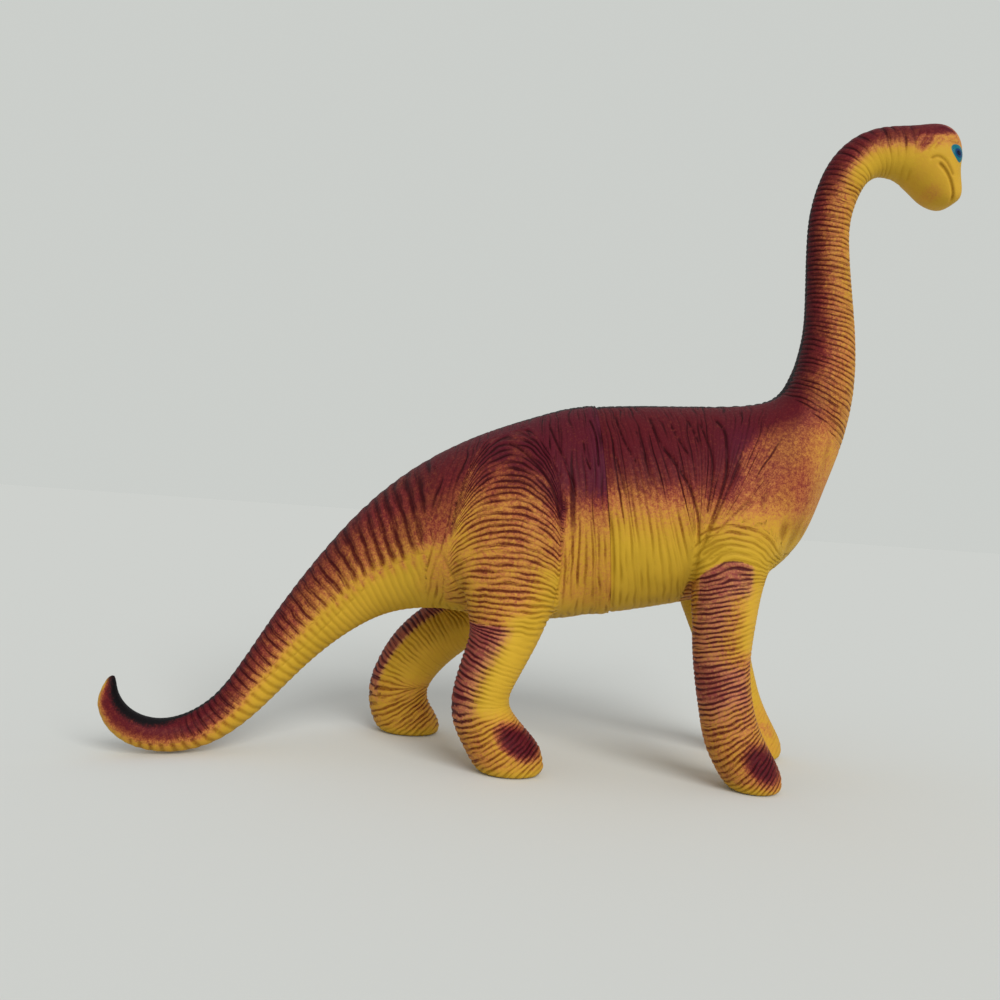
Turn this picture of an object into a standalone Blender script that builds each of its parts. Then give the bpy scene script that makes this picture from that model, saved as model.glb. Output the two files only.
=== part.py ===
# Long-necked dinosaur figure: two hollow soft-vinyl shells plugged together at the waist.
# Metres, +Z up, the head looks along +X, and the four soles stand on Z = 0.

import math

import bmesh
import bpy
from mathutils import Vector

# Trunk
WAIST_HEIGHT = 0.0755        # floor to the middle of the waist
WAIST_AHEAD = 0.0178         # origin to the waist, along X
MIDLINE_ASIDE = 0.0036       # origin to the trunk's middle, because the tail bends aside
WAIST_TILT = 7.6             # degrees that the waist leans back
BODY_DEPTH = 0.0624          # back to belly at the waist
BODY_WIDTH = 0.0510          # side to side at the waist
HIP_LENGTH = 0.0530          # waist to the root of the tail
HIP_WIDTH = 0.0590
CHEST_LENGTH = 0.0472        # waist to the root of the neck
CHEST_WIDTH = 0.0535

# Neck and head
NECK_REACH = 0.0300          # root of the neck to the nape, along X
NECK_RISE = 0.1041           # the same, along Z
NECK_THICKNESS = 0.0126      # front to back where it is slimmest
HEAD_LENGTH = 0.0236         # nape to snout, along X
HEAD_DEPTH = 0.0222          # crown to jaw
HEAD_WIDTH = 0.0184

# Tail
TAIL_REACH = 0.0796          # root of the tail to the end of its curl, along X
TAIL_SWEEP = 0.0360          # how far its tip bends to the figure's right
TAIL_DEPTH = 0.0318          # top to bottom at the root
TAIL_WIDTH = 0.0290
TAIL_CLEARANCE = 0.0003      # floor to the lowest of the curl's cross-sections

# Legs and feet
HIND_TRACK = 0.0440          # middle of one foot to the middle of the other, across
HIND_STRIDE = 0.0288         # the same, along X
HIND_LEG_THICKNESS = 0.0160
HIND_FOOT_LENGTH = 0.0270
HIND_FOOT_WIDTH = 0.0180
FORE_TRACK = 0.0440
FORE_STRIDE = 0.0106
FORE_LEG_THICKNESS = 0.0158
FORE_FOOT_LENGTH = 0.0220
FORE_FOOT_WIDTH = 0.0176

# Vinyl wall and the plug at the waist
WALL = 0.0022
FIT_GAP = 0.0003             # clearance of the plug in its socket, and at the seam
LIP_DEPTH = 0.0015           # how far the rear shell's lip stands in from its wall
LIP_LENGTH = 0.0040
BEAD_HEIGHT = 0.0009         # the plug's snap bead behind that lip
BEAD_LENGTH = 0.0036
EDGE_ROUND = 0.0006          # rounding of both shells' edges at the seam
RIM_PROUD = 0.0005           # how far the rear shell's rim stands out of the front one

# Points round the trunk, the neck and the tail
SIDES = 12

# Each row of these tables is one cross-section, as shares of the sizes above:
# place along, place up, depth, width, and the angle in degrees that it leans back.
HIP_SHARES = (
    (0.190, -0.030, 1.010, 0.915, 8.1),
    (0.385, -0.072, 0.965, 0.985, 11.2),
    (0.580, -0.117, 0.918, 1.000, 14.7),
    (0.790, -0.167, 0.826, 0.905, 17.5),
    (1.000, -0.209, 0.670, 0.700, 23.0),
)
CHEST_SHARES = (
    (0.250, 0.026, 0.984, 0.980, 4.6),
    (0.498, 0.053, 0.946, 1.000, 4.0),
    (0.744, 0.080, 0.917, 1.000, 3.4),
    (1.000, 0.144, 0.833, 0.915, 7.3),
)
NECK_ROOT_SHARES = (
    (0.255, 0.058, 0.722, 0.765, 13.6),
    (0.372, 0.143, 0.560, 0.598, 19.2),
    (0.520, 0.252, 0.462, 0.467, 31.6),
    (0.588, 0.360, 0.372, 0.385, 44.4),
    (0.592, 0.453, 0.315, 0.330, 53.8),
)
NECK_SHARES = (
    (0.565, 0.533, 1.240, 1.206, 72.2),
    (0.533, 0.617, 1.090, 1.079, 81.7),
    (0.512, 0.680, 1.030, 1.016, 86.2),
    (0.493, 0.760, 0.980, 0.952, 84.3),
    (0.510, 0.825, 0.980, 0.952, 83.0),
    (0.600, 0.911, 1.032, 0.968, 72.2),
    (0.700, 0.955, 1.063, 1.000, 53.5),
    (0.840, 0.987, 1.143, 1.063, 35.4),
    (1.000, 1.000, 1.254, 1.159, 12.7),
)
HEAD_SHARES = (
    (0.244, 0.000, 0.738, 0.850, -12.3),
    (0.386, -0.008, 0.886, 0.940, -19.0),
    (0.525, -0.030, 1.016, 1.000, -24.1),
    (0.657, -0.119, 1.031, 1.000, -31.0),
    (0.727, -0.269, 0.880, 0.950, -37.5),
    (0.748, -0.398, 0.659, 0.860, -37.5),
    (0.818, -0.521, 0.484, 0.780, -46.5),
    (0.881, -0.597, 0.321, 0.620, -51.8),
    (0.903, -0.621, 0.145, 0.360, -53.8),
)

# The tail's rows have its sweep to the side as one more share, before the angle.
TAIL_SHARES = (
    (0.165, 0.113, 1.000, 1.000, 0.03, 25.0),
    (0.284, 0.270, 0.767, 0.772, 0.08, 38.1),
    (0.390, 0.430, 0.616, 0.620, 0.17, 44.1),
    (0.477, 0.591, 0.509, 0.517, 0.25, 47.5),
    (0.556, 0.757, 0.428, 0.441, 0.36, 51.6),
    (0.619, 0.875, 0.371, 0.386, 0.47, 50.0),
    (0.693, 0.958, 0.358, 0.366, 0.58, 33.7),
    (0.769, 0.996, 0.321, 0.338, 0.69, 16.5),
    (0.850, 1.000, 0.289, 0.310, 0.78, -4.6),
    (0.926, 0.963, 0.277, 0.290, 0.86, -23.3),
    (0.982, 0.887, 0.252, 0.262, 0.92, -43.7),
    (1.000, 0.788, 0.195, 0.207, 0.97, -62.8),
    (0.997, 0.690, 0.120, 0.130, 1.00, -80.0),
)

# A leg's rows are place along (of the stride), height (of the hip or shoulder), length
# and width (of the leg's thickness), then the slope along and the slope across, in degrees.
RIGHT_HIND_LEG_SHARES = (
    (0.150, 0.700, 1.66, 1.34, 0.0, 37.0),
    (0.160, 0.570, 1.20, 1.18, 10.0, 12.0),
    (0.050, 0.460, 1.11, 1.10, 14.0, 0.0),
    (-0.035, 0.360, 1.02, 1.01, 12.0, 0.0),
    (-0.080, 0.275, 0.99, 0.98, 2.0, 0.0),
)
LEFT_HIND_LEG_SHARES = (
    (0.020, 0.695, 1.42, 1.34, 4.0, 37.0),
    (-0.295, 0.565, 1.32, 1.18, 28.0, 12.0),
    (-0.625, 0.470, 1.22, 1.10, 40.0, 0.0),
    (-0.860, 0.355, 1.23, 1.02, 36.0, 0.0),
    (-1.005, 0.225, 1.19, 0.98, 10.0, 0.0),
)
RIGHT_FORE_LEG_SHARES = (
    (-0.050, 0.690, 1.30, 1.20, 0.0, 35.0),
    (-0.060, 0.595, 1.17, 1.14, 0.0, 12.0),
    (-0.090, 0.505, 1.08, 1.06, 0.0, 0.0),
    (-0.060, 0.410, 1.02, 1.00, -4.0, 0.0),
    (0.110, 0.290, 0.98, 0.97, -8.0, 0.0),
    (0.280, 0.200, 1.02, 0.98, -12.0, 0.0),
)
LEFT_FORE_LEG_SHARES = (
    (0.080, 0.690, 1.30, 1.20, 0.0, 35.0),
    (0.320, 0.595, 1.18, 1.14, -6.0, 12.0),
    (0.600, 0.505, 1.08, 1.06, -12.0, 0.0),
    (0.880, 0.410, 1.02, 1.00, -14.0, 0.0),
    (1.160, 0.290, 0.98, 0.97, -12.0, 0.0),
    (1.330, 0.200, 1.04, 0.98, -14.0, 0.0),
)

# A foot's rows are place along (of the foot's length), height (of the leg's last row),
# length and width (of the foot's own). The last two rows lie flat on the floor.
RIGHT_HIND_FOOT_SHARES = (
    (0.160, 0.640, 0.82, 0.94),
    (0.335, 0.320, 0.87, 1.02),
    (0.380, 0.000, 0.72, 0.94),
    (0.380, 0.000, 0.46, 0.62),
)
LEFT_HIND_FOOT_SHARES = (
    (0.040, 0.600, 0.73, 0.94),
    (0.140, 0.300, 0.84, 1.02),
    (0.190, 0.000, 0.74, 0.94),
    (0.190, 0.000, 0.48, 0.62),
)
FORE_FOOT_SHARES = (
    (0.145, 0.620, 0.86, 0.96),
    (0.290, 0.300, 0.88, 1.02),
    (0.360, 0.000, 0.70, 0.94),
    (0.360, 0.000, 0.45, 0.60),
)
LEG_TRACK_SHARES = (0.93, 0.98, 1.00)      # how the leg spreads on its first rows

# Faces of a ring that the legs grow out of, and smoothing of the finished cage
RIGHT_SIDES = (3, 4)
LEFT_SIDES = (7, 8)
SMOOTH_LEVEL = 1
SHARP_ANGLE = 60
TIP_SECTION_COUNT = 2        # sections at the snout and the tail's tip that are solid
CORNER_FACTOR = 1.4          # how much thicker the wall may get in a sharp corner

REAR_COLOUR = (0.72, 0.36, 0.10, 1)
FRONT_COLOUR = (0.76, 0.42, 0.12, 1)
VINYL_ROUGHNESS = 0.45


def leaning(degrees):
    """Unit vector up the cross-section of something that leans back by this angle."""
    angle = math.radians(degrees)
    return Vector((-math.sin(angle), 0, math.cos(angle)))


def section(centre, depth, width, lean):
    return {"centre": Vector(centre), "depth": depth / 2, "width": width / 2, "up": leaning(lean)}


def run(start, reach, rise, depth, width, shares):
    """Cross-sections along one stretch of the body, from where the last one ended."""
    rows = []
    for along, up, deep, wide, lean in shares:
        centre = start["centre"] + Vector((along * reach, 0, up * rise))
        rows.append(section(centre, deep * depth, wide * width, lean))
    return rows


def tail_run(start):
    """The tail sinks from the hips until its curl just clears the floor."""
    lowest = max(TAIL_SHARES, key=lambda row: row[1])
    lowest_height = TAIL_CLEARANCE + lowest[2] * TAIL_DEPTH / 2
    drop = start["centre"].z - lowest_height
    rows = []
    for along, down, deep, wide, aside, lean in TAIL_SHARES:
        offset = Vector((-along * TAIL_REACH, -aside * TAIL_SWEEP, -down * drop))
        rows.append(section(start["centre"] + offset, deep * TAIL_DEPTH, wide * TAIL_WIDTH, lean))
    return rows


def set_sides(sections, forward):
    """Give each cross-section the direction to the figure's right, square to its path."""
    for index, item in enumerate(sections):
        before = sections[max(index - 1, 0)]["centre"]
        after = sections[min(index + 1, len(sections) - 1)]["centre"]
        item["side"] = ((after - before).cross(item["up"]) * forward).normalized()


def around(centre, up, side, count, first_angle, turn):
    """Points round an oval, spread evenly; up and side hold its two half sizes."""
    drawn_in = (4 + 2 * math.cos(2 * math.pi / count)) / 6      # by the smoothing
    points = []
    for index in range(count):
        angle = first_angle + turn * 2 * math.pi * index / count
        offset = up * math.cos(angle) + side * math.sin(angle)
        points.append(centre + offset / drawn_in)
    return points


def ring(item, inset):
    """Points round one cross-section, from the back down the right side and up the left."""
    up = item["up"] * (item["depth"] - inset)
    side = item["side"] * (item["width"] - inset)
    return around(item["centre"], up, side, SIDES, 0, 1)


def add_ring(bm, points):
    return [bm.verts.new(point) for point in points]


def add_band(bm, first, second, left_open=()):
    """Faces between two rings, apart from those left open for the legs."""
    for index, vert in enumerate(first):
        after = (index + 1) % len(first)
        if index not in left_open:
            bm.faces.new((vert, first[after], second[after], second[index]))


def add_tube(bm, rings, open_bands=()):
    for index, (first, second) in enumerate(zip(rings, rings[1:])):
        add_band(bm, first, second, RIGHT_SIDES + LEFT_SIDES if index in open_bands else ())


def crease(bm, ring_verts):
    """Keep the edges along a ring sharp when the surface is smoothed."""
    layer = bm.edges.layers.float["crease_edge"]
    for vert, after in zip(ring_verts, ring_verts[1:] + ring_verts[:1]):
        bm.edges.get((vert, after))[layer] = 1


def leg_rows(leg, root):
    """Centre, half sizes and axes of each ring of a leg and its foot, top to bottom."""
    rows = []
    for index, (along, high, long, wide, slope, splay) in enumerate(leg["leg_shares"]):
        spread = LEG_TRACK_SHARES[min(index, len(LEG_TRACK_SHARES) - 1)]
        aside = leg["side"] * spread * leg["track"] / 2
        centre = Vector((root.x + along * leg["stride"], aside, high * root.z))
        ahead = Vector((math.cos(math.radians(slope)), 0, -math.sin(math.radians(slope))))
        splayed = math.radians(splay)
        outward = Vector((0, leg["side"] * math.cos(splayed), math.sin(splayed)))
        thickness = leg["thickness"] / 2
        rows.append((centre, ahead, outward, long * thickness, wide * thickness))
    ankle = rows[-1][0]
    outward = Vector((0, leg["side"], 0))
    for along, high, long, wide in leg["foot_shares"]:
        length = leg["foot_length"]
        centre = Vector((ankle.x + along * length, ankle.y, high * ankle.z))
        rows.append((centre, Vector((1, 0, 0)), outward, long * length / 2, wide * leg["foot_width"] / 2))
    return rows


def leg_mouth(rings, leg):
    """The corners of the opening in the trunk's side that a leg grows out of."""
    first, last = leg["rings"]
    outer, middle, inner = leg["corners"]
    mouth = [rings[first][middle]]
    mouth += [rings[index][outer] for index in range(first, last + 1)]
    mouth += [rings[last][middle]]
    mouth += [rings[index][inner] for index in range(last, first - 1, -1)]
    return mouth


def add_leg(bm, mouth, leg, root):
    """Grow a leg and its foot out of the trunk, and close it under the sole."""
    rings = [mouth]
    for centre, ahead, outward, long, wide in leg_rows(leg, root):
        points = around(centre, outward * wide, ahead * long,
                        len(mouth), -leg["forward"] * math.pi / 2, leg["forward"])
        rings.append(add_ring(bm, points))
    add_tube(bm, rings)
    bm.faces.new(rings[-1])
    return rings


def lining(bm, rings):
    """The same rings moved in by the wall, square to the skin."""
    lined = []
    for verts in rings:
        points = [vert.co - vert.normal * WALL * min(vert.calc_shell_factor(), CORNER_FACTOR)
                  for vert in verts]
        lined.append(points)
    return [add_ring(bm, points) for points in lined]


def rim_ring(waist, along, inset):
    """A ring beside the waist: how far ahead of it, and how far in from its outline."""
    ahead = Vector((waist["up"].z, 0, -waist["up"].x))
    moved = dict(waist, centre=waist["centre"] + ahead * along)
    return ring(moved, inset)


def plug_rows():
    """The front shell's edge, then its plug: neck, snap bead, open end and inner wall."""
    neck = WALL + LIP_DEPTH + FIT_GAP
    neck_end = -LIP_LENGTH - 2 * FIT_GAP
    bead = neck - BEAD_HEIGHT
    plug_end = neck_end - BEAD_LENGTH
    bore = neck + WALL
    return [
        (3 * EDGE_ROUND, 0, False),
        (EDGE_ROUND, 0, False),
        (0, EDGE_ROUND, True),
        (0, neck, True),
        (neck_end, neck, True),
        (neck_end, bead, True),
        ((neck_end + plug_end) / 2, bead, False),
        (plug_end, neck, True),
        (plug_end, bore, True),
        (0, bore, False),
        (2 * WALL, WALL + LIP_DEPTH, False),
    ]


def socket_rows():
    """The rear shell's edge, which stands a little proud, then its lip and inner wall."""
    lip = WALL + LIP_DEPTH
    lip_end = -FIT_GAP - LIP_LENGTH
    return [
        (lip_end - LIP_LENGTH, 0, False),
        (-FIT_GAP - 3 * EDGE_ROUND, -RIM_PROUD, False),
        (-FIT_GAP - EDGE_ROUND, -RIM_PROUD, False),
        (-FIT_GAP, EDGE_ROUND - RIM_PROUD, True),
        (-FIT_GAP, lip, True),
        (lip_end, lip, True),
        (lip_end, WALL, True),
    ]


def vinyl(name, colour):
    material = bpy.data.materials.new(name)
    material.use_nodes = True
    shader = material.node_tree.nodes["Principled BSDF"]
    shader.inputs["Base Color"].default_value = colour
    shader.inputs["Roughness"].default_value = VINYL_ROUGHNESS
    shader.inputs["Metallic"].default_value = 0
    return material


def add_shell(name, sections, rim_rows, legs, forward, colour, parent):
    """One hollow shell: its outer skin, its edge at the waist and its inner wall."""
    set_sides(sections, forward)
    bm = bmesh.new()
    bm.edges.layers.float.new("crease_edge")
    first, last = legs[0]["rings"]
    open_bands = range(first, last)
    skin = [add_ring(bm, ring(item, 0)) for item in sections[1:]]
    add_tube(bm, skin, open_bands)
    bm.faces.new(skin[-1])
    limbs = [add_leg(bm, leg_mouth(skin, leg), leg, sections[leg["root"]]["centre"]) for leg in legs]
    bmesh.ops.recalc_face_normals(bm, faces=bm.faces)

    roomy = [verts for verts, item in zip(skin, sections[1:-TIP_SECTION_COUNT])
             if min(item["depth"], item["width"]) > 2 * WALL]
    hollow = lining(bm, roomy)
    hollow_limbs = [lining(bm, limb[1:len(leg["leg_shares"]) + 2]) for limb, leg in zip(limbs, legs)]
    add_tube(bm, hollow, open_bands)
    bm.faces.new(hollow[-1])
    for leg, limb in zip(legs, hollow_limbs):
        add_tube(bm, [leg_mouth(hollow, leg)] + limb)
        bm.faces.new(limb[-1])

    rim = [add_ring(bm, rim_ring(sections[0], along, inset)) for along, inset, _ in rim_rows]
    add_tube(bm, [skin[0]] + rim + [hollow[0]])
    for verts, row in zip(rim, rim_rows):
        if row[-1]:
            crease(bm, verts)
    loose = [vert for vert in bm.verts if not vert.link_faces]
    bmesh.ops.delete(bm, geom=loose, context="VERTS")
    bmesh.ops.recalc_face_normals(bm, faces=bm.faces)
    mesh = bpy.data.meshes.new(name)
    bm.to_mesh(mesh)
    bm.free()
    mesh.shade_smooth()
    mesh.set_sharp_from_angle(angle=math.radians(SHARP_ANGLE))
    mesh.materials.append(vinyl(name + "_vinyl", colour))
    shell = bpy.data.objects.new(name, mesh)
    bpy.context.scene.collection.objects.link(shell)
    shell.parent = parent
    smooth = shell.modifiers.new("Smooth skin", "SUBSURF")
    smooth.levels = SMOOTH_LEVEL
    smooth.render_levels = SMOOTH_LEVEL
    return shell


def add_rear_shell(waist, parent):
    """Hips, hind legs and tail, with the socket's lip at the waist."""
    hips = run(waist, -HIP_LENGTH, BODY_DEPTH, BODY_DEPTH, HIP_WIDTH, HIP_SHARES)
    tail = tail_run(hips[-1])
    common = {"rings": (0, 3), "root": 3, "forward": -1, "track": HIND_TRACK,
              "stride": HIND_STRIDE, "thickness": HIND_LEG_THICKNESS,
              "foot_length": HIND_FOOT_LENGTH, "foot_width": HIND_FOOT_WIDTH}
    right = dict(common, side=-1, corners=(3, 4, 5), leg_shares=RIGHT_HIND_LEG_SHARES,
                 foot_shares=RIGHT_HIND_FOOT_SHARES)
    left = dict(common, side=1, corners=(9, 8, 7), leg_shares=LEFT_HIND_LEG_SHARES,
                foot_shares=LEFT_HIND_FOOT_SHARES)
    sections = [waist] + hips + tail
    return add_shell("rear_shell", sections, socket_rows(), [right, left], -1, REAR_COLOUR, parent)


def add_front_shell(waist, parent):
    """Chest, forelegs, neck and head, with the plug at the waist."""
    chest = run(waist, CHEST_LENGTH, BODY_DEPTH, BODY_DEPTH, CHEST_WIDTH, CHEST_SHARES)
    neck_root = run(chest[-1], NECK_REACH, NECK_RISE, BODY_DEPTH, CHEST_WIDTH, NECK_ROOT_SHARES)
    neck = run(chest[-1], NECK_REACH, NECK_RISE, NECK_THICKNESS, NECK_THICKNESS, NECK_SHARES)
    head = run(neck[-1], HEAD_LENGTH, HEAD_LENGTH, HEAD_DEPTH, HEAD_WIDTH, HEAD_SHARES)
    common = {"rings": (1, 3), "root": 3, "forward": 1, "track": FORE_TRACK,
              "stride": FORE_STRIDE, "thickness": FORE_LEG_THICKNESS,
              "foot_shares": FORE_FOOT_SHARES, "foot_width": FORE_FOOT_WIDTH,
              "foot_length": FORE_FOOT_LENGTH}
    right = dict(common, side=-1, corners=(3, 4, 5), leg_shares=RIGHT_FORE_LEG_SHARES)
    left = dict(common, side=1, corners=(9, 8, 7), leg_shares=LEFT_FORE_LEG_SHARES)
    sections = [waist] + chest + neck_root + neck + head
    return add_shell("front_shell", sections, plug_rows(), [right, left], 1, FRONT_COLOUR, parent)


def clear_scene():
    for item in list(bpy.data.objects):
        bpy.data.objects.remove(item, do_unlink=True)


def main():
    clear_scene()
    figure = bpy.data.objects.new("dinosaur_figure", None)
    figure.location = (0, MIDLINE_ASIDE, 0)
    bpy.context.scene.collection.objects.link(figure)
    waist = section((WAIST_AHEAD, 0, WAIST_HEIGHT), BODY_DEPTH, BODY_WIDTH, WAIST_TILT)
    add_rear_shell(dict(waist), figure)
    add_front_shell(dict(waist), figure)


main()
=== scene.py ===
import math

import bmesh
import bpy
import numpy as np
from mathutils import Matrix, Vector, noise


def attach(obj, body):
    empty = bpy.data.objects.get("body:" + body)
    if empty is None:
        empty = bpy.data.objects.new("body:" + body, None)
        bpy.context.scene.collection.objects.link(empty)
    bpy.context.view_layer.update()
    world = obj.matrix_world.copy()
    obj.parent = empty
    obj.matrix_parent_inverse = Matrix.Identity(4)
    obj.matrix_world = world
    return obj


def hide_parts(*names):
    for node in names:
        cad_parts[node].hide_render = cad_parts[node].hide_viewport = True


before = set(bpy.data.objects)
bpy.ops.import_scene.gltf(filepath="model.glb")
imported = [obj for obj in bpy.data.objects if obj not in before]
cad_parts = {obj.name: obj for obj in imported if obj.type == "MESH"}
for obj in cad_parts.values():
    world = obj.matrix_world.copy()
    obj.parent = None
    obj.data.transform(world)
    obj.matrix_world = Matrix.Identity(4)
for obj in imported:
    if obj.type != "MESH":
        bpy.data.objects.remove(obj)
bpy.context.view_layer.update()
scene = bpy.context.scene
mm = 0.001

# Toy dinosaur: wrinkled, airbrushed vinyl skins over the two packed shells.
# Places are in millimetres in the frame, with y counted from the trunk's middle.
midline = 3.6

# The spine from the tip of the tail to the snout: x, z, half the depth, the lean of the
# cross-section in degrees, and the pitch of the wrinkles there.
spine = [
    (-114.6, 22.8, 1.9, -80, 2.2), (-114.8, 17.1, 3.1, -63, 2.2), (-113.4, 11.4, 4.0, -44, 2.2),
    (-108.9, 7.0, 4.4, -23, 2.3), (-102.9, 4.9, 4.6, -5, 2.3), (-96.4, 5.1, 5.1, 16, 2.5),
    (-90.4, 7.3, 5.7, 34, 2.6), (-84.5, 12.1, 5.9, 50, 2.5), (-79.5, 18.9, 6.8, 52, 2.5),
    (-73.2, 28.5, 8.1, 48, 2.4), (-66.2, 37.7, 9.8, 44, 2.2), (-57.8, 46.9, 12.2, 38, 2.0),
    (-48.3, 56.0, 15.9, 25, 2.2), (-35.2, 62.5, 20.9, 23, 1.9), (-24.1, 65.1, 25.8, 18, 1.9),
    (-12.9, 68.2, 28.6, 15, 2.8), (-2.6, 71.0, 30.1, 11, 2.8), (7.7, 73.6, 31.5, 8, 2.8),
    (17.8, 75.5, 31.2, 8, 2.8), (29.6, 77.1, 30.7, 5, 2.8), (41.3, 78.8, 29.5, 4, 2.8),
    (52.9, 80.5, 28.6, 3, 2.8), (65.0, 84.5, 26.0, 7, 2.0), (72.7, 90.5, 22.5, 14, 1.6),
    (76.2, 99.4, 17.5, 19, 1.5), (80.6, 110.7, 14.4, 32, 1.5), (82.6, 122.0, 11.6, 44, 1.6),
    (82.8, 131.7, 9.8, 54, 1.5), (82.0, 140.0, 7.8, 72, 1.5), (81.0, 148.7, 6.9, 82, 1.5),
    (80.4, 155.3, 6.5, 86, 1.5), (79.8, 163.6, 6.2, 84, 1.5), (80.3, 170.4, 6.2, 83, 1.5),
    (83.0, 179.3, 6.5, 72, 1.5), (86.0, 183.9, 6.7, 53, 1.7), (90.2, 187.2, 7.2, 35, 2.1),
    (95.0, 188.6, 7.9, 13, 2.4), (100.9, 188.5, 8.7, 2, 2.4), (105.9, 187.7, 10.4, -12, 2.4),
    (110.8, 185.3, 11.7, -20, 2.4), (113.6, 181.4, 10.0, -24, 2.4), (115.7, 178.3, 7.2, -28, 2.4),
    (117.1, 176.8, 4.2, -30, 2.4),
]

# Pitch of the rings on the tail's back, by x.
tailRings = [(-108, 1.6), (-96, 1.8), (-84, 2.0), (-72, 2.3), (-60, 2.9), (-40, 3.4)]

# The middle of each leg from the body to the toes, as x and z.
legLines = {
    "rightHind": [(-8.6, 54), (-8.6, 47), (-8.8, 39), (-11.5, 31.4), (-13.9, 24.6),
                  (-14.8, 18.5), (-12.4, 11.8), (-7.6, 5.4), (-1.5, -0.8), (5, -7)],
    "leftHind": [(-8, 54), (-12.3, 47.4), (-21.4, 38.5), (-30.9, 32.1), (-37.7, 24.2),
                 (-41.5, 16), (-39.6, 9.8), (-35, 4), (-29, -2)],
    "rightFore": [(52.4, 66), (52.4, 56), (52.3, 47.9), (52, 40.7), (52.3, 33),
                  (54.1, 23.3), (56.8, 14.5), (61.2, 7.8), (67, 1.5), (74, -5.5)],
    "leftFore": [(53, 66), (53.8, 55.5), (56.3, 47.9), (59.3, 40.7), (62.2, 33),
                 (65.2, 23.3), (68, 14.5), (72.4, 7.8), (78, 1.8), (84, -4.5)],
}


def blend(first, second, share):
    return first * (1 - share) + second * share


def smooth(low, high, value):
    share = np.clip((value - low) / (high - low), 0, 1)
    return share * share * (3 - 2 * share)


def grain(points, size, shift=0.0):
    # smooth noise from about -1 to 1 at each point, with features about size mm across
    scaled = points / size + np.array([1.0, 1.7, -1.0]) * np.reshape(shift, (-1, 1))
    return np.array([noise.noise(p) for p in scaled])


curveStep = 0.8
chunk = 20000        # points worked on at a time
farAway = 1000       # mm, more than the figure's length


def throughRows(rows):
    # a smooth curve through the rows, sampled about every curveStep mm
    rows = np.array(rows, float)
    ends = np.vstack([2 * rows[0] - rows[1], rows, 2 * rows[-1] - rows[-2]])
    made = []
    for a, b, c, d in zip(ends, ends[1:], ends[2:], ends[3:]):
        count = max(2, int(np.hypot(*(c - b)[:2]) / curveStep))
        t = np.arange(count)[:, None] / count
        made.append((2 * b + (c - a) * t + (2 * a - 5 * b + 4 * c - d) * t ** 2
                     + (3 * b - a - 3 * c + d) * t ** 3) / 2)
    made.append(ends[-2:-1])
    return np.vstack(made)


def runLength(line):
    return np.concatenate([[0], np.cumsum(np.hypot(*np.diff(line[:, :2], axis=0).T))])


def onSpine(flat):
    # phase of the rings and length along the spine, how far down the section (-1 back, 1 belly),
    # half its depth, and the phase of the rings on the tail's back
    line = throughRows(spine)
    lengths = runLength(line)
    steps = np.diff(lengths) / ((line[1:, 4] + line[:-1, 4]) / 2)
    phases = np.concatenate([[0], np.cumsum(steps)])
    backPitch = np.interp(line[1:, 0], *zip(*tailRings))
    backPhases = np.concatenate([[0], np.cumsum(np.diff(lengths) / backPitch)])
    lean = np.radians(line[:, 3])
    ahead = np.stack([np.cos(lean), np.sin(lean)], 1)
    up = np.stack([-np.sin(lean), np.cos(lean)], 1)
    phase, run, down, half, backPhase = np.zeros((5, len(flat)))
    for start in range(0, len(flat), chunk):
        part = flat[start:start + chunk]
        own = slice(start, start + len(part))
        away = part[:, None, :] - line[None, :, :2]
        before = (away * ahead).sum(2)
        crossed = (before[:, :-1] >= 0) & (before[:, 1:] < 0)
        far = np.hypot(away[:, :-1, 0], away[:, :-1, 1])
        far[~crossed] += farAway
        pick = far.argmin(1)
        rows = np.arange(len(part))
        first, second = before[rows, pick], before[rows, pick + 1]
        share = np.clip(first / np.where(first == second, 1, first - second), 0, 1)
        phase[own] = phases[pick] + share * (phases[pick + 1] - phases[pick])
        run[own] = lengths[pick] + share * (lengths[pick + 1] - lengths[pick])
        half[own] = line[pick, 2]
        backPhase[own] = backPhases[pick] + share * (backPhases[pick + 1] - backPhases[pick])
        down[own] = -(away[rows, pick] * up[pick]).sum(1) / half[own]
    return phase, run, down, half, backPhase


def onLine(flat, rows):
    # distance along a line in side view, distance in front of it (to its right), and its ends
    line = throughRows(rows)
    lengths = runLength(line)
    tangent = np.gradient(line[:, :2], axis=0)
    tangent /= np.linalg.norm(tangent, axis=1)[:, None]
    along, off = np.zeros(len(flat)), np.zeros(len(flat))
    for start in range(0, len(flat), chunk):
        part = flat[start:start + chunk]
        own = slice(start, start + len(part))
        away = part[:, None, :] - line[None, :, :2]
        pick = (away ** 2).sum(2).argmin(1)
        near = away[np.arange(len(part)), pick]
        way = tangent[pick]
        along[own] = lengths[pick] + (near * way).sum(1)
        off[own] = way[:, 0] * near[:, 1] - way[:, 1] * near[:, 0]
    return along, off, lengths[-1]


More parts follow.
